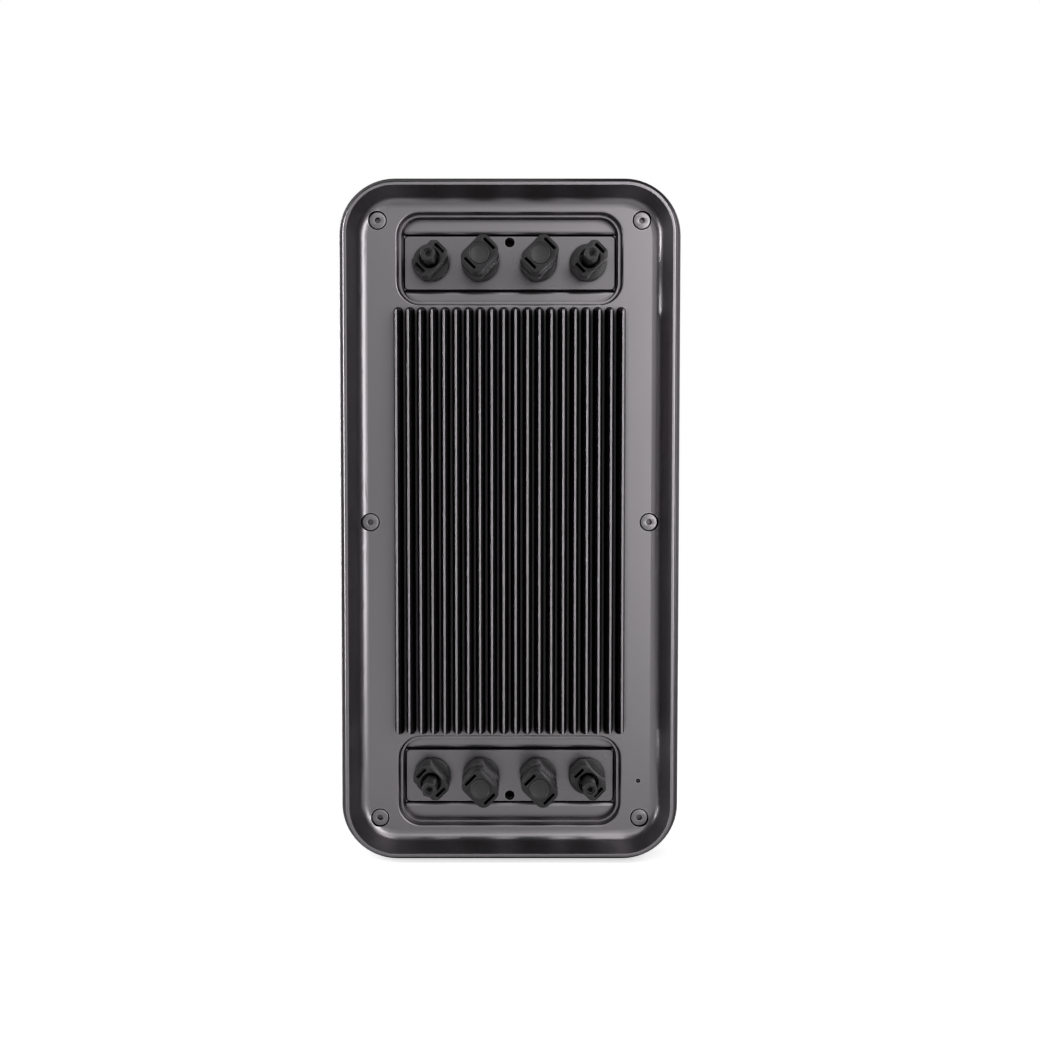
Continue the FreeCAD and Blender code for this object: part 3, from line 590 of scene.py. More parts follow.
@dataclass(frozen=True)
class BareMetal(Finish):
    """Machined, drawn or plated metal with fine lines.

    Args:
        across: Lines per metre across their length.
        along: Changes per metre along their length.
        gloss_spread: Spread of the roughness.
        line_depth: Depth of a line in metres.
        tarnish: Colour of the tarnish.
    """

    across: float = 2400.0
    along: float = 60.0
    gloss_spread: float = 0.2
    line_depth: float = 0.000006
    tarnish: Colour = (0.35, 0.32, 0.28)

    def dress(self, graph: Graph, shader: bpy.types.Node) -> None:
        """Drawn lines over a slow tarnish.

        Args:
            graph: The material's graph.
            shader: The Principled shader.
        """
        lines = graph.place(
            DrawnLines.tree(), across=self.across, along=self.along, gloss=self.gloss,
            gloss_spread=self.gloss_spread).outputs
        at = graph.at()
        age = graph.remap(graph.noise(at, 60.0, 5.0, 0.65), 0.45, 0.8, 0.0, 0.5)
        tone = graph.remap(lines["Tone"], 0.2, 0.8, 0.86, 1.06)
        lined = graph.tint(tone, self.colour)
        graph.feed(shader.inputs["Base Color"], graph.mix(age, lined, self.tarnish))
        graph.feed(shader.inputs["Roughness"], lines["Roughness"])
        shader.inputs["Metallic"].default_value = 1.0
        self.bump(graph, shader, lines["Height"], self.line_depth)


@dataclass(frozen=True)
class Laminate(Finish):
    """Solder mask on glass-fibre board: a weave under a glossy skin, with copper traces that show through.

    Args:
        trace_colour: Colour of the skin over a trace.
        trace_scale: Cells of the trace pattern per metre.
        weave_scale: Angle of the weave wave per metre, in radians.
        trace_height: How far a trace stands up, in metres.
    """

    trace_colour: Colour = (0.05, 0.3, 0.13)
    trace_scale: float = 260.0
    weave_scale: float = 9000.0
    trace_height: float = 0.00003

    def dress(self, graph: Graph, shader: bpy.types.Node) -> None:
        """Weave and traces under gloss.

        Args:
            graph: The material's graph.
            shader: The Principled shader.
        """
        at = graph.at()
        part = graph.node("ShaderNodeSeparateXYZ", {"Vector": at}).outputs
        weave = [graph.math("SINE", graph.math("MULTIPLY", part[axis], self.weave_scale)) for axis in "XZ"]
        cloth = graph.math("MULTIPLY", *weave)
        grid = {"Vector": at, "Scale": self.trace_scale}
        brick = graph.node(
            "ShaderNodeTexVoronoi", grid, distance="MANHATTAN", feature="DISTANCE_TO_EDGE")
        trace = graph.remap(brick.outputs["Distance"], 0.1, 0.16, 1.0, 0.0)
        tone = graph.math("MULTIPLY_ADD", cloth, 0.06, 1.0)
        base = graph.tint(tone, self.colour)
        graph.feed(shader.inputs["Base Color"], graph.mix(trace, base, self.trace_colour))
        graph.feed(shader.inputs["Roughness"], graph.remap(trace, 0.0, 1.0, self.gloss, self.gloss + 0.12))
        self.bump(graph, shader, trace, self.trace_height)


@dataclass(frozen=True)
class ClearResin(Finish):
    """Clear or milky moulded resin that passes light.

    Args:
        transmission: Share of the light that it lets through.
        haze_scale: Patches of haze per metre.
        refraction: Its index of refraction.
    """

    transmission: float = 0.9
    haze_scale: float = 700.0
    refraction: float = 1.49

    def dress(self, graph: Graph, shader: bpy.types.Node) -> None:
        """Faint haze in the surface gloss.

        Args:
            graph: The material's graph.
            shader: The Principled shader.
        """
        at = graph.at()
        haze = graph.noise(at, self.haze_scale, 3.0)
        value = graph.remap(haze, 0.2, 0.8, 0.92, 1.0)
        tinted = graph.tint(value, self.colour)
        graph.feed(shader.inputs["Base Color"], tinted)
        rough = graph.remap(haze, 0.3, 0.7, self.gloss * 0.7, self.gloss * 1.3)
        graph.feed(shader.inputs["Roughness"], rough)
        shader.inputs["Transmission Weight"].default_value = self.transmission
        shader.inputs["IOR"].default_value = self.refraction


COAT: Colour = (0.300, 0.285, 0.300)
PLATE_COAT: Colour = (0.265, 0.252, 0.265)
RESIN: Colour = (0.026, 0.0245, 0.026)
FINISHES: dict[str, Finish] = {
    "housing_coat": PowderCoat(COAT, gloss=0.33),
    "cover_coat": PowderCoat(COAT, gloss=0.33, grain_scale=800.0),
    "plate_coat": PowderCoat(PLATE_COAT, gloss=0.28, grain_depth=0.000003),
    "coated_screw": PowderCoat(COAT, gloss=0.34, grain_scale=1500.0, groove_colour=(0.12, 0.114, 0.12)),
    "seal_rubber": MouldedPlastic(grey(0.022), gloss=0.62, grain_scale=1100.0),
    "cap_rubber": MouldedPlastic(
        (0.040, 0.038, 0.040), gloss=0.42, specular=0.35, grain_scale=1300.0, edge_lift=0.4),
    "socket_plastic": MouldedPlastic(RESIN, gloss=0.3, specular=0.45, edge_lift=0.9),
    "plug_plastic": MouldedPlastic(RESIN, gloss=0.3, specular=0.28, edge_lift=0.9),
    "nut_plastic": MouldedPlastic(grey(0.03), gloss=0.4),
    "header_plastic": MouldedPlastic(grey(0.03), gloss=0.45),
    "chip_resin": MouldedPlastic(grey(0.028), gloss=0.5, grain_scale=2400.0),
    "terminal_plastic": MouldedPlastic((0.03, 0.17, 0.07), gloss=0.4),
    "lead_positive": MouldedPlastic((0.4, 0.02, 0.015), gloss=0.38, edge_lift=0.1),
    "lead_negative": MouldedPlastic(grey(0.02), gloss=0.38, edge_lift=0.1),
    "thermal_pad": MouldedPlastic((0.4, 0.42, 0.5), gloss=0.75, grain_scale=900.0, edge_lift=0.1),
    "capacitor_sleeve": MouldedPlastic((0.02, 0.026, 0.05), gloss=0.22, grain_scale=2200.0),
    "film_case": MouldedPlastic((0.52, 0.34, 0.04), gloss=0.3),
    "ferrite": MouldedPlastic(grey(0.06, 0.02), gloss=0.55, grain_scale=1900.0, spread=0.4),
    "steel_screw": BareMetal(grey(0.56, 0.01), gloss=0.3),
    "tinned_copper": BareMetal(grey(0.36, 0.03), gloss=0.3, along=300.0),
    "spreader_metal": BareMetal(grey(0.7), gloss=0.34, along=18.0),
    "copper_strip": BareMetal((0.68, 0.3, 0.14), gloss=0.28, tarnish=(0.4, 0.16, 0.07)),
    "board_laminate": Laminate((0.012, 0.1, 0.045), gloss=0.26),
    "lens_clear": ClearResin(grey(0.05), gloss=0.12),
    "lamp_epoxy": ClearResin(grey(0.8, 0.02), gloss=0.2, transmission=0.4),
}


# --- Mesh building --------------------------------------------------------------------------------


@dataclass(frozen=True)
class Outline:
    """A closed outline across the Y axis that can be drawn smaller or larger by an inset."""

    centre: Point2 = (0.0, 0.0)

    def points(self, inset: float) -> list[Point2]:
        """Points of the outline, anticlockwise, moved inwards by inset."""
        raise NotImplementedError


@dataclass(frozen=True)
class RoundOutline(Outline):
    """A circle.

    Args:
        radius: Its radius.
        steps: Number of points.
    """

    radius: float = 1.0
    steps: int = 56

    def points(self, inset: float) -> list[Point2]:
        """Evenly spaced points on the circle.

        Args:
            inset: How far they are moved inwards.

        Returns:
            X and Z of each point.
        """
        radius = self.radius - inset
        turns = [2.0 * math.pi * step / self.steps for step in range(self.steps)]
        return [(self.centre[0] + radius * math.cos(a), self.centre[1] + radius * math.sin(a)) for a in turns]


@dataclass(frozen=True)
class BoxOutline(Outline):
    """A rectangle with round corners.

    Args:
        half_x: Half its width.
        half_z: Half its height.
        corner: Radius of its corners.
        steps: Steps round each corner.
    """

    half_x: float = 1.0
    half_z: float = 1.0
    corner: float = 0.2
    steps: int = 8

    def points(self, inset: float) -> list[Point2]:
        """Points round the four corners.

        Args:
            inset: How far they are moved inwards.

        Returns:
            X and Z of each point.
        """
        corner = max(self.corner - inset, 0.05 * self.corner)
        reach_x = self.half_x - inset - corner
        reach_z = self.half_z - inset - corner
        found = []
        for index, (sx, sz) in enumerate(((1, 1), (-1, 1), (-1, -1), (1, -1))):
            for step in range(self.steps + 1):
                angle = (index + step / self.steps) * math.pi / 2.0
                x = self.centre[0] + sx * reach_x + corner * math.cos(angle)
                z = self.centre[1] + sz * reach_z + corner * math.sin(angle)
                found.append((x, z))
        return found


@dataclass(frozen=True)
class HexOutline(Outline):
    """A regular hexagon with slightly eased corners.

    Args:
        across_flats: Its size across the flats.
        ease: Share of a side that each corner takes off.
        turn: Bearing of its first corner in radians.
    """

    across_flats: float = 1.0
    ease: float = 0.1
    turn: float = math.pi / 6.0

    def points(self, inset: float) -> list[Point2]:
        """Two points at each corner.

        Args:
            inset: How far the sides are moved inwards.

        Returns:
            X and Z of each point.
        """
        radius = (self.across_flats / 2.0 - inset) / math.cos(math.pi / 6.0)
        angles = [self.turn + math.pi / 3.0 * step for step in range(6)]
        corners = [Vector((math.cos(a), math.sin(a))) * radius for a in angles]
        found = []
        for index, here in enumerate(corners):
            for other in (corners[index - 1], corners[(index + 1) % 6]):
                eased = here.lerp(other, self.ease)
                found.append((self.centre[0] + eased.x, self.centre[1] + eased.y))
        return found


@dataclass(frozen=True)
class ChamferOutline(Outline):
    """A rectangle with its corners cut off, and each of the eight new corners slightly eased.

    Args:
        half_x: Half its width.
        half_z: Half its height.
        cut: How much of each side a cut corner takes.
        ease: How much of each side a new corner takes off.
    """

    half_x: float = 1.0
    half_z: float = 1.0
    cut: float = 0.4
    ease: float = 0.3

    def points(self, inset: float) -> list[Point2]:
        """Two points at each of the eight corners.

        Args:
            inset: How far the sides are moved inwards.

        Returns:
            X and Z of each point.
        """
        far_x, far_z = self.half_x - inset, self.half_z - inset
        cut = self.cut - inset * (2.0 - math.sqrt(2.0))
        quarter = [(far_x, far_z - cut), (far_x - cut, far_z)]
        corners = []
        for sx, sz, order in ((1, 1, 1), (-1, 1, -1), (-1, -1, 1), (1, -1, -1)):
            corners += [Vector((sx * x, sz * z)) for x, z in quarter[::order]]
        found = []
        for index, here in enumerate(corners):
            for other in (corners[index - 1], corners[(index + 1) % 8]):
                eased = here + (other - here).normalized() * self.ease
                found.append((self.centre[0] + eased.x, self.centre[1] + eased.y))
        return found


@dataclass(frozen=True)
class Hole:
    """A hole that starts at a slab's mouth.

    Args:
        outline: Its outline.
        depth: Its depth in millimetres.
        flare: How far its mouth opens out.
        deeper: A further hole in its bottom.
    """

    outline: Outline
    depth: float
    flare: float = 0.2
    deeper: "Hole | None" = None


class MeshMaker:
    """Collects slabs, turned shapes and boxes, in millimetres about the Y axis, into one mesh."""

    BEVEL_STEPS = 3

    def __init__(self) -> None:
        """Starts with nothing."""
        self.mesh = bmesh.new()
        self.place = Matrix.Identity(4)

    def vertex(self, x: float, y: float, z: float) -> bmesh.types.BMVert:
        """One vertex at the present place, from millimetres."""
        return self.mesh.verts.new(self.place @ (Vector((x, y, z)) * MM))

    def ring(self, points: Sequence[Point2], y: float) -> list[bmesh.types.BMVert]:
        """One ring of vertices across the Y axis."""
        return [self.vertex(x, y, z) for x, z in points]

    def wall(self, rings: Sequence[list[bmesh.types.BMVert]]) -> None:
        """Faces between each ring and the next.

        Args:
            rings: Rings with as many vertices, in order.
        """
        for first, second in zip(rings, rings[1:]):
            for index in range(len(first)):
                after = (index + 1) % len(first)
                self.mesh.faces.new((first[index], first[after], second[after], second[index]))

    def cap(self, loops: Sequence[list[bmesh.types.BMVert]]) -> None:
        """Flat faces inside the first loop and outside the others.

        Args:
            loops: The outer ring, then the ring of each hole.
        """
        flat = [vertex for loop in loops for vertex in loop]
        corners = [[vertex.co for vertex in loop] for loop in loops]
        for triangle in tessellate_polygon(corners):
            self.mesh.faces.new([flat[index] for index in triangle])

    def eased(self, size: float) -> list[Point2]:
        """Inset and depth of each ring of a rounded edge, from the cap to the wall.

        Args:
            size: Size of the rounded edge.

        Returns:
            Inset and depth of each ring.
        """
        if size <= 0.0:
            return [(0.0, 0.0)]
        turns = [math.pi / 2.0 * step / self.BEVEL_STEPS for step in range(self.BEVEL_STEPS + 1)]
        return [(size * (1.0 - math.sin(a)), size * (1.0 - math.cos(a))) for a in turns]

    def slab(self, outline: Outline, front: float, back: float, edge: float = 0.0, back_edge: float = 0.0,
             holes: Iterable[Hole] = (), spread: float = 0.0,
             steps: Sequence[tuple[Outline, float]] = ()) -> None:
        """A prism along Y with rounded edges and blind holes in its front.

        Args:
            outline: Outline at the front.
            front: Y of the front, the end that faces -Y.
            back: Y of the back.
            edge: Size of the front's rounded edge.
            back_edge: Size of the back's rounded edge.
            holes: Holes in the front.
            spread: How much wider the outline is at the back.
            steps: Outlines with as many points, each with its Y, that the wall passes on its way back.
        """
        rings = [self.ring(outline.points(inset), front + depth) for inset, depth in self.eased(edge)]
        rings += [self.ring(shape.points(0.0), y) for shape, y in steps]
        for inset, depth in reversed(self.eased(back_edge)):
            rings.append(self.ring(outline.points(inset - spread), back - depth))
        self.wall(rings)
        self.cap([rings[0]] + [self.sink(hole, front) for hole in holes])
        self.cap([rings[-1]])

    def sink(self, hole: Hole, front: float) -> list[bmesh.types.BMVert]:
        """Walls and bottom of a hole, and of any further hole in its bottom.

        Args:
            hole: The hole.
            front: Y of its mouth.

        Returns:
            The ring of its mouth.
        """
        flare = self.eased(hole.flare)
        inner = [self.ring(hole.outline.points(-inset), front + depth) for inset, depth in flare]
        inner.append(self.ring(hole.outline.points(0.0), front + hole.depth))
        self.wall(inner)
        bottom = [inner[-1]]
        if hole.deeper is not None:
            bottom.append(self.sink(hole.deeper, front + hole.depth))
        self.cap(bottom)
        return inner[0]

    def turned(self, profile: Sequence[Point2], steps: int = 56) -> None:
        """A turned solid about Y.

        Args:
            profile: Radius and Y of each point, from the front's axis to the back's axis.
            steps: Number of steps round.
        """
        rings = [
            self.ring(RoundOutline(radius=radius, steps=steps).points(0.0), y) for radius, y in profile]
        self.wall(rings)
        self.cap([rings[0]])
        self.cap([rings[-1]])

    def box(self, low: Sequence[float], high: Sequence[float], edge: float = 0.0) -> None:
        """A box between two corners, with its front edges rounded.

        Args:
            low: Low X, Y and Z.
            high: High X, Y and Z.
            edge: Size of the rounded edges.
        """
        outline = BoxOutline(
            centre=((low[0] + high[0]) / 2.0, (low[2] + high[2]) / 2.0), half_x=(high[0] - low[0]) / 2.0,
            half_z=(high[2] - low[2]) / 2.0, corner=max(edge, 0.05), steps=2)
        self.slab(outline, low[1], high[1], edge=edge, back_edge=edge)

    def piece(self, name: str, slot: str, body: str, replaces: Sequence[str] = ()) -> bpy.types.Object:
        """Turns what was collected into a finished piece.

        Args:
            name: The piece's name.
            slot: Material slot of the record that it takes its finish from.
            body: Body that it rides on.
            replaces: CAD nodes that it stands for.

        Returns:
            The new object.
        """
        bmesh.ops.recalc_face_normals(self.mesh, faces=self.mesh.faces)
        data = bpy.data.meshes.new(name)
        self.mesh.to_mesh(data)
        self.mesh.free()
        smooth(data)
        made = bpy.data.objects.new(name, data)
        bpy.context.scene.collection.objects.link(made)
        data.materials.append(FINISHES[slot].material(slot))
        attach(made, body)
        if replaces:
            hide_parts(*replaces)
        LOG.info("%s: %d faces on %s", name, len(data.polygons), body)
        return made


def smooth(data: bpy.types.Mesh) -> None:
    """Smooth shading that stays sharp at real edges."""
    data.polygons.foreach_set("use_smooth", [True] * len(data.polygons))
    data.set_sharp_from_angle(angle=SMOOTH_ANGLE)


def thread(radius: float, root: float, start: float, end: float, pitch: float) -> list[Point2]:
    """Profile of a thread, as rings of V grooves.

    Args:
        radius: Outer radius.
        root: Radius at the foot of the grooves.
        start: First Y.
        end: Last Y.
        pitch: Distance from one groove to the next.

    Returns:
        Radius and Y of each point.
    """
    turns = max(1, round(abs(end - start) / pitch))
    step = (end - start) / turns
    found = []
    for index in range(turns):
        y = start + index * step
        found += [(radius, y), (radius, y + step * 0.3), (root, y + step * 0.6), (root, y + step * 0.7)]
    return found + [(radius, end)]


# --- Sub-assemblies -------------------------------------------------------------------------------


class Row(Enum):
    """The two connector rows; the value is the sign of Z."""

    TOP = 1
    BOTTOM = -1

    @property
    def label(self) -> str:
        """The row's word in names."""
        return self.name.lower()


class Hand(Enum):
    """Left or right of the centre line; the value is the sign of X."""

    LEFT = -1
    RIGHT = 1

    @property
    def label(self) -> str:
        """The side's word in names."""
        return self.name.lower()


def node_centre(node: str) -> Vector:
    """Middle of a CAD node's box, in millimetres."""
    low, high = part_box(node)
    return (low + high) / 2.0 / MM


def diagonal_place(node: str, row: Row) -> Matrix:
    """Place of a piece made about Y: on the node's centre line, its latches on the row's diagonal.

    Args:
        node: The CAD node.
        row: The connector row.

    Returns:
        The place as a matrix in metres.
    """
    centre = node_centre(node) * MM
    turn = Matrix.Rotation(math.radians(-45.0 * row.value), 4, "Y")
    return Matrix.Translation((centre.x, 0.0, centre.z)) @ turn


@dataclass
class Case:
    """Rear housing, front cover, plates, seals and the six case screws.

    Args:
        head_radius: Radius of a case screw's head.
        head_height: Height of the head.
        socket: Size across the flats of its hexagonal socket.
        shank: Thread radius.
        root: Radius at the foot of the thread.
        pitch: Thread pitch.
        corner_x: X of the four corner screws.
        screw_turn: How far each screw's socket is turned from the last one's, in degrees.
        kept: CAD nodes that keep their shape.
    """

    head_radius: float = 4.4
    head_height: float = 3.5
    socket: float = 3.0
    shank: float = 2.48
    root: float = 2.1
    pitch: float = 0.8
    corner_x: float = 70.8
    screw_turn: float = 17.0
    kept: tuple[str, ...] = (
        "rear_housing", "front_cover", "housing_seal", "connector_plate_top", "connector_plate_bottom",
        "plate_seal_top", "plate_seal_bottom", "flange_seals")

    def build(self) -> None:
        """Finishes the cast and rolled parts and makes the screws."""
        for node in self.kept:
            finish_node(node)
        self.screws()

    def screws(self) -> None:
        """Six low-head screws with a hexagonal socket and a rolled thread."""
        low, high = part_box("housing_screws")
        top = low.y / MM
        seat = top + self.head_height
        end = high.y / MM
        reach_x = high.x / MM - self.head_radius
        reach_z = high.z / MM - self.head_radius
        places = [(sx * self.corner_x, sz * reach_z) for sx in (-1, 1) for sz in (-1, 1)]
        places += [(-reach_x, 0.0), (reach_x, 0.0)]
        maker = MeshMaker()
        for index, (x, z) in enumerate(places):
            turn = Matrix.Rotation(math.radians(self.screw_turn * index), 4, "Y")
            maker.place = Matrix.Translation(Vector((x, 0.0, z)) * MM) @ turn
            socket = Hole(HexOutline(across_flats=self.socket), depth=self.head_height * 0.6, flare=0.15)
            maker.slab(RoundOutline(radius=self.head_radius), top, seat, edge=0.3, holes=[socket])
            profile = [(self.shank, seat - 0.05)]
            profile += thread(self.shank, self.root, seat + 2.0, end - 0.6, self.pitch)
            maker.turned(profile + [(self.root, end)], steps=28)
        maker.piece("case_screw_set", "coated_screw", HUB, ["housing_screws"])


@dataclass
class Connector:
    """What both kinds of panel connector share: flange, thread and ribs.

    Args:
        row: Which row it is in.
        hand: Which side of the centre line it is on.
        flange: Radius of the flange.
        flange_front: Y of the flange's face.
        flange_back: Y of the flange's underside, where its seal starts.
        barrel: Thread radius.
        barrel_root: Radius at the foot of the thread.
        pitch: Thread pitch.
        rib_height: How far the grip ribs stand out of the flats.
    """

    row: Row
    hand: Hand
    flange: float = 9.9
    flange_front: float = -3.0
    flange_back: float = -0.8
    barrel: float = 6.0
    barrel_root: float = 5.45
    pitch: float = 1.5
    rib_height: float = 0.28
    kind: str = "connector"

    @property
    def node(self) -> str:
        """Name of the CAD node that the connector stands for."""
        return f"{self.kind}_shell_{self.row.label}_{self.hand.label}"

    def start(self) -> MeshMaker:
        """A mesh maker at the connector's place, with the flange and the threaded barrel in it.

        Returns:
            The mesh maker.
        """
        maker = MeshMaker()
        maker.place = diagonal_place(self.node, self.row)
        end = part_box(self.node)[1].y / MM
        front = self.flange_front
        profile = [(0.6, front), (self.flange - 0.5, front)]
        profile += [(self.flange - inset, front + depth) for inset, depth in maker.eased(0.5)[1:]]
        profile += [(self.flange, self.flange_back - 0.25), (self.flange - 0.25, self.flange_back)]
        profile += [(self.barrel_root, self.flange_back), (self.barrel_root, 2.4)]
        profile += thread(self.barrel, self.barrel_root, 2.6, end - 0.8, self.pitch)
        maker.turned(profile + [(self.barrel_root, end)])
        return maker

    def ribs(self, maker: MeshMaker, flat: float, front: float, places: Sequence[float]) -> None:
        """Long grip ribs on both flats.

        Args:
            maker: Where to add them.
            flat: Distance of a flat from the axis.
            front: Y where the ribs start.
            places: Place of each rib along the flat.
        """
        for side in (-1, 1):
            for x in places:
                near, far = sorted((side * (flat - 0.4), side * (flat + self.rib_height)))
                maker.box((x - 0.35, front, near), (x + 0.35, self.flange_front + 0.2, far), edge=0.16)


@dataclass
class SocketConnector(Connector):
    """Female connector: a hexagonal probe in a round well, between two latch slots.

    Args:
        mouth: Y of the shell's mouth.
        half_long: Half the distance between its ends.
        half_flat: Half the distance between its flats.
        chamfer: How much is cut off each corner.
        collar: Radius of the step at the well's mouth.
        collar_depth: Depth of that step.
        well: Radius of the well.
        probe: Size of the probe across its flats.
        recess: Size of the recess in its tip across its flats.
        recess_depth: Depth of the recess.
        tip_hole: Radius of the hole in the recess.
        tip_wall: Length of that hole.
        bore: Radius of the chamber behind it.
        bore_depth: Length of the chamber.
        slot_x: Distance of a latch slot from the axis.
        groove_x: Distance of the narrow groove outside it.
        rib_places: Place of each grip rib along a flat.
    """

    kind: str = "socket"
    mouth: float = -16.0
    half_long: float = 9.55
    half_flat: float = 6.15
    chamfer: float = 2.3
    collar: float = 5.75
    collar_depth: float = 0.6
    well: float = 5.3
    probe: float = 7.4
    recess: float = 4.5
    recess_depth: float = 1.2
    tip_hole: float = 1.35
    tip_wall: float = 1.8
    bore: float = 2.05
    bore_depth: float = 17.0
    slot_x: float = 7.25
    groove_x: float = 8.9
    rib_places: tuple[float, ...] = (-4.4, -2.2, 0.0, 2.2, 4.4)

    def build(self) -> None:
        """Makes the shell with its well, probe, latch slots and ribs."""
        maker = self.start()
        depth = self.flange_front - 2.0 - self.mouth
        well = Hole(RoundOutline(radius=self.well), depth=depth - self.collar_depth, flare=0.15)
        holes = [Hole(RoundOutline(radius=self.collar), depth=self.collar_depth, flare=0.08, deeper=well)]
        for side in (-1, 1):
            slot = BoxOutline(centre=(side * self.slot_x, 0.0), half_x=0.9, half_z=3.3, corner=0.2, steps=3)
            groove = BoxOutline(
                centre=(side * self.groove_x, 0.0), half_x=0.2, half_z=3.0, corner=0.1, steps=2)
            holes += [Hole(slot, depth=9.0, flare=0.1), Hole(groove, depth=3.0, flare=0.05)]
        body = ChamferOutline(half_x=self.half_long, half_z=self.half_flat, cut=self.chamfer)
        maker.slab(body, self.mouth, self.flange_front + 0.1, edge=0.2, holes=holes, spread=0.25)
        self.contact_probe(maker)
        self.ribs(maker, self.half_flat, self.mouth + 2.0, self.rib_places)
        maker.piece(f"socket_{self.row.label}_{self.hand.label}", "socket_plastic", HUB, [self.node])

    def contact_probe(self, maker: MeshMaker) -> None:
        """The probe, with a hexagonal recess at its tip and the way in to its contact.

        Args:
            maker: Where to add it.
        """
        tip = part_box(self.node)[0].y / MM
        chamber = Hole(RoundOutline(radius=self.bore, steps=36), depth=self.bore_depth, flare=0.0)
        entry = Hole(
            RoundOutline(radius=self.tip_hole, steps=36), depth=self.tip_wall, flare=0.2, deeper=chamber)
        recess = Hole(
            HexOutline(across_flats=self.recess), depth=self.recess_depth, flare=0.15, deeper=entry)
        body = HexOutline(across_flats=self.probe)
        maker.slab(body, tip, self.flange_front - 1.8, edge=0.35, holes=[recess])


@dataclass
class PlugConnector(Connector):
    """Male connector: a tall shell with a round bore between two latch slots, closed by a dust cap.

    Args:
        half_long: Half the distance between its ends.
        half_flat: Half the distance between its flats.
        corner: Radius of its corners.
        bore: Radius of the bore.
        bore_depth: Depth of the bore.
        slot_x: Distance of a latch slot from the axis.
        slot_half_z: Half the length of a latch slot.
        slot_depth: Depth of a latch slot.
        waist: Where the waist starts and ends, behind the mouth.
        waist_depth: How far its ends go in.
        waist_slope: Half the length of the slope at each end of the waist.
        rib_places: Place of each grip rib along a flat.
        cap: Radius of the dust cap.
        dish: How deep the cap's face is sunk.
    """

    kind: str = "plug"
    half_long: float = 9.5
    half_flat: float = 6.9
    corner: float = 4.4
    bore: float = 5.42
    bore_depth: float = 23.0
    slot_x: float = 7.1
    slot_half_z: float = 3.9
    slot_depth: float = 12.0
    waist: Point2 = (8.0, 16.0)
    waist_depth: float = 0.9
    waist_slope: float = 0.3
    rib_places: tuple[float, ...] = (-3.6, -1.8, 0.0, 1.8, 3.6)
    cap: float = 5.3
    dish: float = 0.85

    def build(self) -> None:
        """Makes the shell, then its dust cap."""
        maker = self.start()
        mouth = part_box(self.node)[0].y / MM
        holes = [Hole(RoundOutline(radius=self.bore), depth=self.bore_depth, flare=0.25)]
        for side in (-1, 1):
            slot = BoxOutline(
                centre=(side * self.slot_x, 0.0), half_x=0.8, half_z=self.slot_half_z, corner=0.3, steps=3)
            holes.append(Hole(slot, depth=self.slot_depth, flare=0.12))
        body = self.outline(0.0)
        top, foot = mouth + self.waist[0], mouth + self.waist[1]
        slope, narrow = self.waist_slope, self.outline(-self.waist_depth)
        steps = [(self.outline(0.1), top - slope), (narrow, top + slope)]
        steps += [(narrow, foot - slope), (self.outline(0.2), foot + slope)]
        maker.slab(body, mouth, self.flange_front + 0.1, edge=0.35, holes=holes, spread=0.3, steps=steps)
        self.collar(maker)
        self.ribs(maker, self.half_flat, mouth + 9.0, self.rib_places)
        maker.piece(f"plug_{self.row.label}_{self.hand.label}", "plug_plastic", HUB, [self.node])
        self.dust_cap()

    def outline(self, longer: float) -> BoxOutline:
        """The body's outline, with its two ends moved out."""
        half_z = self.half_flat + max(0.0, longer)
        return BoxOutline(half_x=self.half_long + longer, half_z=half_z, corner=self.corner, steps=10)

    def collar(self, maker: MeshMaker) -> None:
        """A low moulded collar where the shell meets its flange.

        Args:
            maker: Where to add it.
        """
        outline = BoxOutline(
            half_x=self.half_long + 0.1, half_z=self.half_flat + 0.55, corner=self.corner + 0.3, steps=10)
        maker.slab(outline, self.flange_front - 2.2, self.flange_front + 0.1, edge=0.4)

    def dust_cap(self) -> None:
        """Soft stopper: a raised rim round a dished face, a sealing bead and a hollow foot."""
        place = f"{self.row.label}_{self.hand.label}"
        node = f"dust_cap_{place}"
        low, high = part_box(node)
        top, end = low.y / MM, high.y / MM
        rim, dish = self.cap, self.dish
        profile = [(0.4, top + dish), (rim - 0.85, top + dish), (rim - 0.62, top + dish - 0.12)]
        profile += [(rim - 0.55, top + 0.15), (rim - 0.42, top), (rim - 0.2, top), (rim - 0.05, top + 0.12)]
        profile += [(rim, top + 0.3), (rim, top + 1.4), (rim - 0.25, top + 1.7), (rim - 0.25, top + 4.0)]
        profile += [(rim, top + 4.4), (rim, top + 5.2), (rim - 0.25, top + 5.6), (rim - 0.25, end - 0.6)]
        profile += [(rim - 0.6, end), (rim - 1.2, end), (rim - 1.3, end - 0.3), (rim - 1.3, top + 2.4)]
        maker = MeshMaker()
        maker.place = diagonal_place(node, self.row)
        maker.turned(profile + [(0.4, top + 2.4)])
        maker.piece(f"stopper_{place}", "cap_rubber", f"cap_{place}", [node])


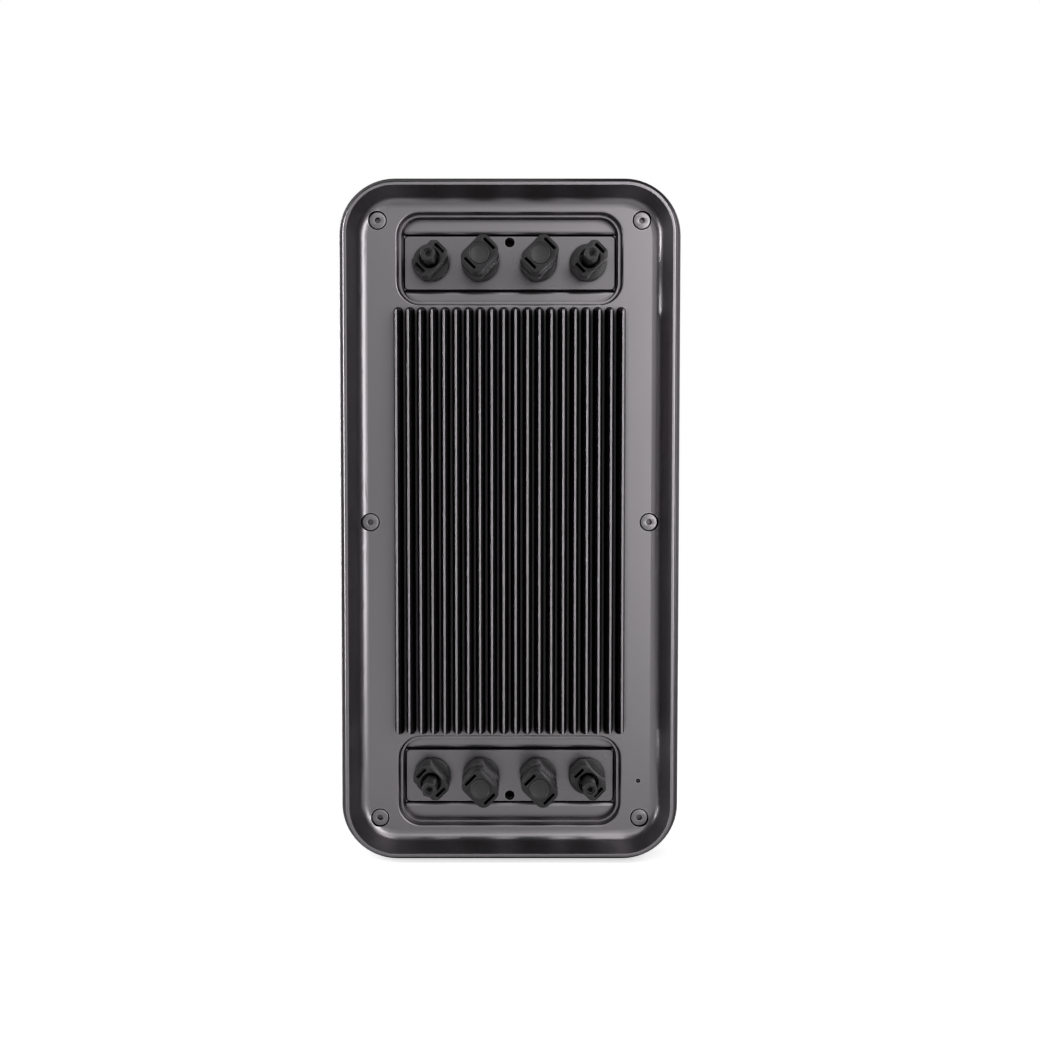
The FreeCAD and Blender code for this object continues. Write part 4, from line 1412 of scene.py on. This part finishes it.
@dataclass
class PowerStage:
    """The boards and what stands on them, with small parts and solder that the frame leaves out.

    Args:
        seed: Seed for the places of the small parts.
        zones: Free areas of the main board, each as low X, high X, low Z and high Z.
        per_zone: Small parts in each area.
        step: Distance between the grid places for small parts.
        sizes: Length, width and height of each kind of small part.
        plated: Half of a plated end's length, as a share of half the small part's length.
        end_place: Where the middle of a plated end is, as a share of half the length.
        plating: How far the plating stands out.
        loose: How far a small part may be from its grid place.
        pin_pitch: Distance between a transistor's pins.
        pin_z: How far the rows of pins are from the middle.
        package_x: X of each transistor in a row.
        solder_cone: Radius and height above the board of each ring of a solder cone.
        kept: CAD nodes that keep their shape.
    """

    seed: int = 11
    zones: tuple[Zone, ...] = (
        (-57.0, -24.0, -13.0, 13.0), (24.0, 57.0, -13.0, 13.0), (-58.0, 58.0, 53.5, 61.0),
        (-58.0, 58.0, -61.0, -53.5), (-52.0, 52.0, 89.0, 96.5), (-52.0, 52.0, -96.5, -89.0))
    per_zone: int = 26
    step: float = 4.4
    sizes: tuple[tuple[float, float, float], ...] = ((1.6, 0.8, 0.5), (2.0, 1.25, 0.6), (3.2, 1.6, 0.9))
    plated: float = 0.2
    end_place: float = 0.84
    plating: float = 0.04
    loose: float = 0.3
    pin_pitch: float = 5.45
    pin_z: float = 50.0
    package_x: tuple[float, ...] = (-42.0, -14.0, 14.0, 42.0)
    solder_cone: tuple[Point2, ...] = ((1.5, 0.0), (1.1, 0.35), (0.8, 0.9), (0.72, 1.3))
    kept: tuple[str, ...] = (
        "main_circuit_board", "control_board", "control_header", "control_chips", "heat_spreader",
        "spreader_rivets", "thermal_pads", "power_transistors", "transistor_pins", "inductor_cores",
        "inductor_windings", "bulk_capacitors", "film_capacitors", "lead_terminals", "board_screws",
        "plate_screws", "outer_leads", "inner_leads", "socket_contacts", "pin_contacts", "lock_nuts",
        "indicator_lens", "indicator_board", "indicator_lamp")

    def build(self) -> None:
        """Finishes the CAD parts, then adds small parts and solder."""
        for node in self.kept:
            finish_node(node)
        self.small_parts()
        self.solder()

    def small_parts(self) -> None:
        """Chip resistors and capacitors: a body, then its two plated ends."""
        random.seed(self.seed)
        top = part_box("main_circuit_board")[1].y / MM
        bodies, ends = MeshMaker(), MeshMaker()
        for zone in self.zones:
            for x, z, upright in self.scatter(zone):
                long, wide, tall = random.choice(self.sizes)
                half_x, half_z = (wide / 2, long / 2) if upright else (long / 2, wide / 2)
                bodies.box((x - half_x, top, z - half_z), (x + half_x, top + tall, z + half_z), edge=0.06)
                for side in (-1, 1):
                    end_x = x if upright else x + side * half_x * self.end_place
                    end_z = z + side * half_z * self.end_place if upright else z
                    reach_x = half_x + self.plating if upright else half_x * self.plated
                    reach_z = half_z * self.plated if upright else half_z + self.plating
                    low = (end_x - reach_x, top, end_z - reach_z)
                    high = (end_x + reach_x, top + tall + self.plating, end_z + reach_z)
                    ends.box(low, high, edge=0.06)
        bodies.piece("board_small_parts", "chip_resin", HUB)
        ends.piece("board_small_part_ends", "tinned_copper", HUB)

    def scatter(self, zone: Zone) -> list[tuple[float, float, bool]]:
        """Places on a loose grid in a free area.

        Args:
            zone: Low X, high X, low Z and high Z.

        Returns:
            X, Z and whether the part stands along Z.
        """
        low_x, high_x, low_z, high_z = zone
        step = self.step
        columns = int((high_x - low_x) // step)
        rows = max(1, int((high_z - low_z) // step))
        cells = [(column, line) for column in range(columns) for line in range(rows)]
        random.shuffle(cells)
        found = []
        for column, line in cells[:self.per_zone]:
            x = low_x + (column + 0.5) * step + random.uniform(-self.loose, self.loose)
            z = low_z + (line + 0.5) * step + random.uniform(-self.loose, self.loose)
            found.append((x, z, random.random() < 0.5))
        return found

    def solder(self) -> None:
        """A solder cone round each transistor pin."""
        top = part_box("main_circuit_board")[1].y / MM
        maker = MeshMaker()
        for side in (-1, 1):
            for x in self.package_x:
                for step in (-1, 0, 1):
                    centre = Vector((x + step * self.pin_pitch, 0.0, side * self.pin_z)) * MM
                    maker.place = Matrix.Translation(centre)
                    cone = [(radius, top + height) for radius, height in self.solder_cone]
                    maker.turned(cone, steps=16)
        maker.piece("pin_solder", "tinned_copper", HUB)


# --- Studio ---------------------------------------------------------------------------------------


@dataclass
class Softbox:
    """A large soft light.

    Args:
        name: Its name.
        at: Place in metres.
        size: Width and height in metres.
        radiance: How bright its face is.
        aim: Point it looks at.
    """

    name: str
    at: tuple[float, float, float]
    size: Point2
    radiance: float
    aim: tuple[float, float, float] = (0.0, 0.0, 0.0)

    def build(self) -> None:
        """Makes the light and turns it to its aim."""
        lamp = bpy.data.lights.new(self.name, "AREA")
        lamp.shape = "RECTANGLE"
        lamp.size, lamp.size_y = self.size
        lamp.energy = self.radiance * math.pi * self.size[0] * self.size[1]
        holder = bpy.data.objects.new(self.name, lamp)
        holder.location = self.at
        holder.visible_camera = False
        toward = Vector(self.aim) - Vector(self.at)
        holder.rotation_euler = toward.to_track_quat("-Z", "Y").to_euler()
        bpy.context.scene.collection.objects.link(holder)


@dataclass
class Studio:
    """Pale floor, pale surroundings, soft lights and the camera.

    Args:
        distance: From the camera to the tray floor, in metres.
        elevation: Camera height as an angle, in degrees.
        azimuth: Camera bearing, in degrees.
        lens: Focal length in millimetres on a 36 mm sensor.
        shift: Sideways lens shift.
        floor_reach: Half size of the floor in metres.
        floor_fade: Where the floor starts and ends its fade into the white around, in metres.
        floor_lift: How much light the floor adds of its own to what the camera sees.
        floor_bounce: Brightness of the floor's paper for light that bounces off it.
        surround: Brightness of the surroundings as a light source.
        target: Point that the camera looks at, in metres.
        boxes: The soft lights.
    """

    distance: float = 0.640
    elevation: float = 2.43
    azimuth: float = 0.0
    lens: float = 40.95
    shift: float = 0.00988
    floor_reach: float = 4.0
    floor_fade: Point2 = (0.3, 1.1)
    floor_lift: float = 0.62
    floor_bounce: float = 0.7
    surround: float = 0.02
    target: tuple[float, float, float] = (0.0, -0.008, 0.0012)
    boxes: tuple[Softbox, ...] = (
        Softbox("front_wide", (0.0, -2.0, 0.4), (3.0, 2.2), 0.42),
        Softbox("front_high", (-0.3, -1.6, 1.2), (2.6, 0.8), 0.8),
        Softbox("key_right", (1.0, -1.7, 0.35), (1.0, 2.0), 3.2),
        Softbox("floor_wash", (0.7, -0.9, 1.7), (1.4, 0.8), 2.3, (0.7, -0.9, 0.0)),
        Softbox("rim_left", (-1.4, -0.15, 0.25), (0.4, 1.2), 12.0),
        Softbox("rim_right", (1.3, 0.8, 0.3), (0.7, 1.4), 3.0),
        Softbox("front_face_key", (-0.5, 1.7, 0.7), (1.2, 1.2), 1.8),
    )

    def build(self) -> None:
        """Sets up everything round the object."""
        bpy.context.scene.view_settings.view_transform = "Standard"
        self.floor()
        self.surroundings()
        for box in self.boxes:
            box.build()
        self.camera()

    def floor(self) -> None:
        """Plain pale floor under the object."""
        reach = self.floor_reach
        level = cad_low.z - 0.0002
        data = bpy.data.meshes.new("floor")
        corners = [(sx * reach, sy * reach, level) for sx, sy in ((-1, -1), (1, -1), (1, 1), (-1, 1))]
        data.from_pydata(corners, [], [(0, 1, 2, 3)])
        made = bpy.data.objects.new("floor", data)
        bpy.context.scene.collection.objects.link(made)
        paint = bpy.data.materials.new("floor_paper")
        paint.use_nodes = True
        graph = Graph(paint.node_tree)
        shader = paint.node_tree.nodes["Principled BSDF"]
        at = graph.at()
        tone = graph.remap(graph.noise(at, 6.0, 4.0), 0.2, 0.8, 0.97, 1.0)
        seen = graph.node("ShaderNodeLightPath").outputs["Is Camera Ray"]
        pale = graph.mix(tone, grey(0.80), grey(0.86))
        graph.feed(shader.inputs["Base Color"], graph.mix(seen, grey(self.floor_bounce), pale))
        shader.inputs["Emission Color"].default_value = (1.0, 1.0, 1.0, 1.0)
        graph.feed(shader.inputs["Emission Strength"], graph.math("MULTIPLY", seen, self.floor_lift))
        away = graph.node("ShaderNodeVectorMath", {"0": at}, operation="LENGTH").outputs["Value"]
        graph.feed(shader.inputs["Alpha"], graph.remap(away, *self.floor_fade, 1.0, 0.0))
        shader.inputs["Roughness"].default_value = 0.9
        shader.inputs["Specular IOR Level"].default_value = 0.1
        data.materials.append(paint)

    def surroundings(self) -> None:
        """White to look at, and a dimmer grey as a light source."""
        world = bpy.data.worlds.new("studio")
        world.use_nodes = True
        world.node_tree.nodes.clear()
        graph = Graph(world.node_tree)
        seen = graph.node("ShaderNodeLightPath").outputs["Is Camera Ray"]
        shade = graph.mix(seen, grey(self.surround), grey(1.0))
        background = graph.node("ShaderNodeBackground", {"Color": shade, "Strength": 1.0})
        graph.node("ShaderNodeOutputWorld", {"Surface": background.outputs[0]})
        bpy.context.scene.world = world

    def camera(self) -> None:
        """Camera square to the connector side, a little above the middle."""
        turn = math.radians(self.azimuth)
        lift = math.radians(self.elevation)
        back = Vector((math.sin(turn) * math.cos(lift), -math.cos(turn) * math.cos(lift), math.sin(lift)))
        data = bpy.data.cameras.new("camera")
        data.lens = self.lens
        data.sensor_width = 36.0
        data.shift_x = self.shift
        data.clip_start, data.clip_end = 0.01, 100.0
        made = bpy.data.objects.new("camera", data)
        made.location = Vector(self.target) + back * self.distance
        made.rotation_euler = (-back).to_track_quat("-Z", "Y").to_euler()
        bpy.context.scene.collection.objects.link(made)
        bpy.context.scene.camera = made


# --- Build ----------------------------------------------------------------------------------------


def finish_node(node: str) -> None:
    """Gives a CAD node its finish.

    Args:
        node: The node's name; the record says its slot.
    """
    slot = next(part["material_slot"] for part in frame["record"]["subparts"] if part["node"] == node)
    shown = frame["nodes"][node]
    shown.data.materials.clear()
    shown.data.materials.append(FINISHES[slot].material(slot))
    LOG.info("%s: finished as %s", node, slot)


def main() -> None:
    """Builds the sub-assemblies in order."""
    Case().build()
    for row in Row:
        for hand in Hand:
            SocketConnector(row, hand).build()
            PlugConnector(row, hand).build()
    PowerStage().build()
    Studio().build()


if __name__ == "__main__":
    logging.basicConfig(level=logging.INFO, format="%(message)s")
    main()
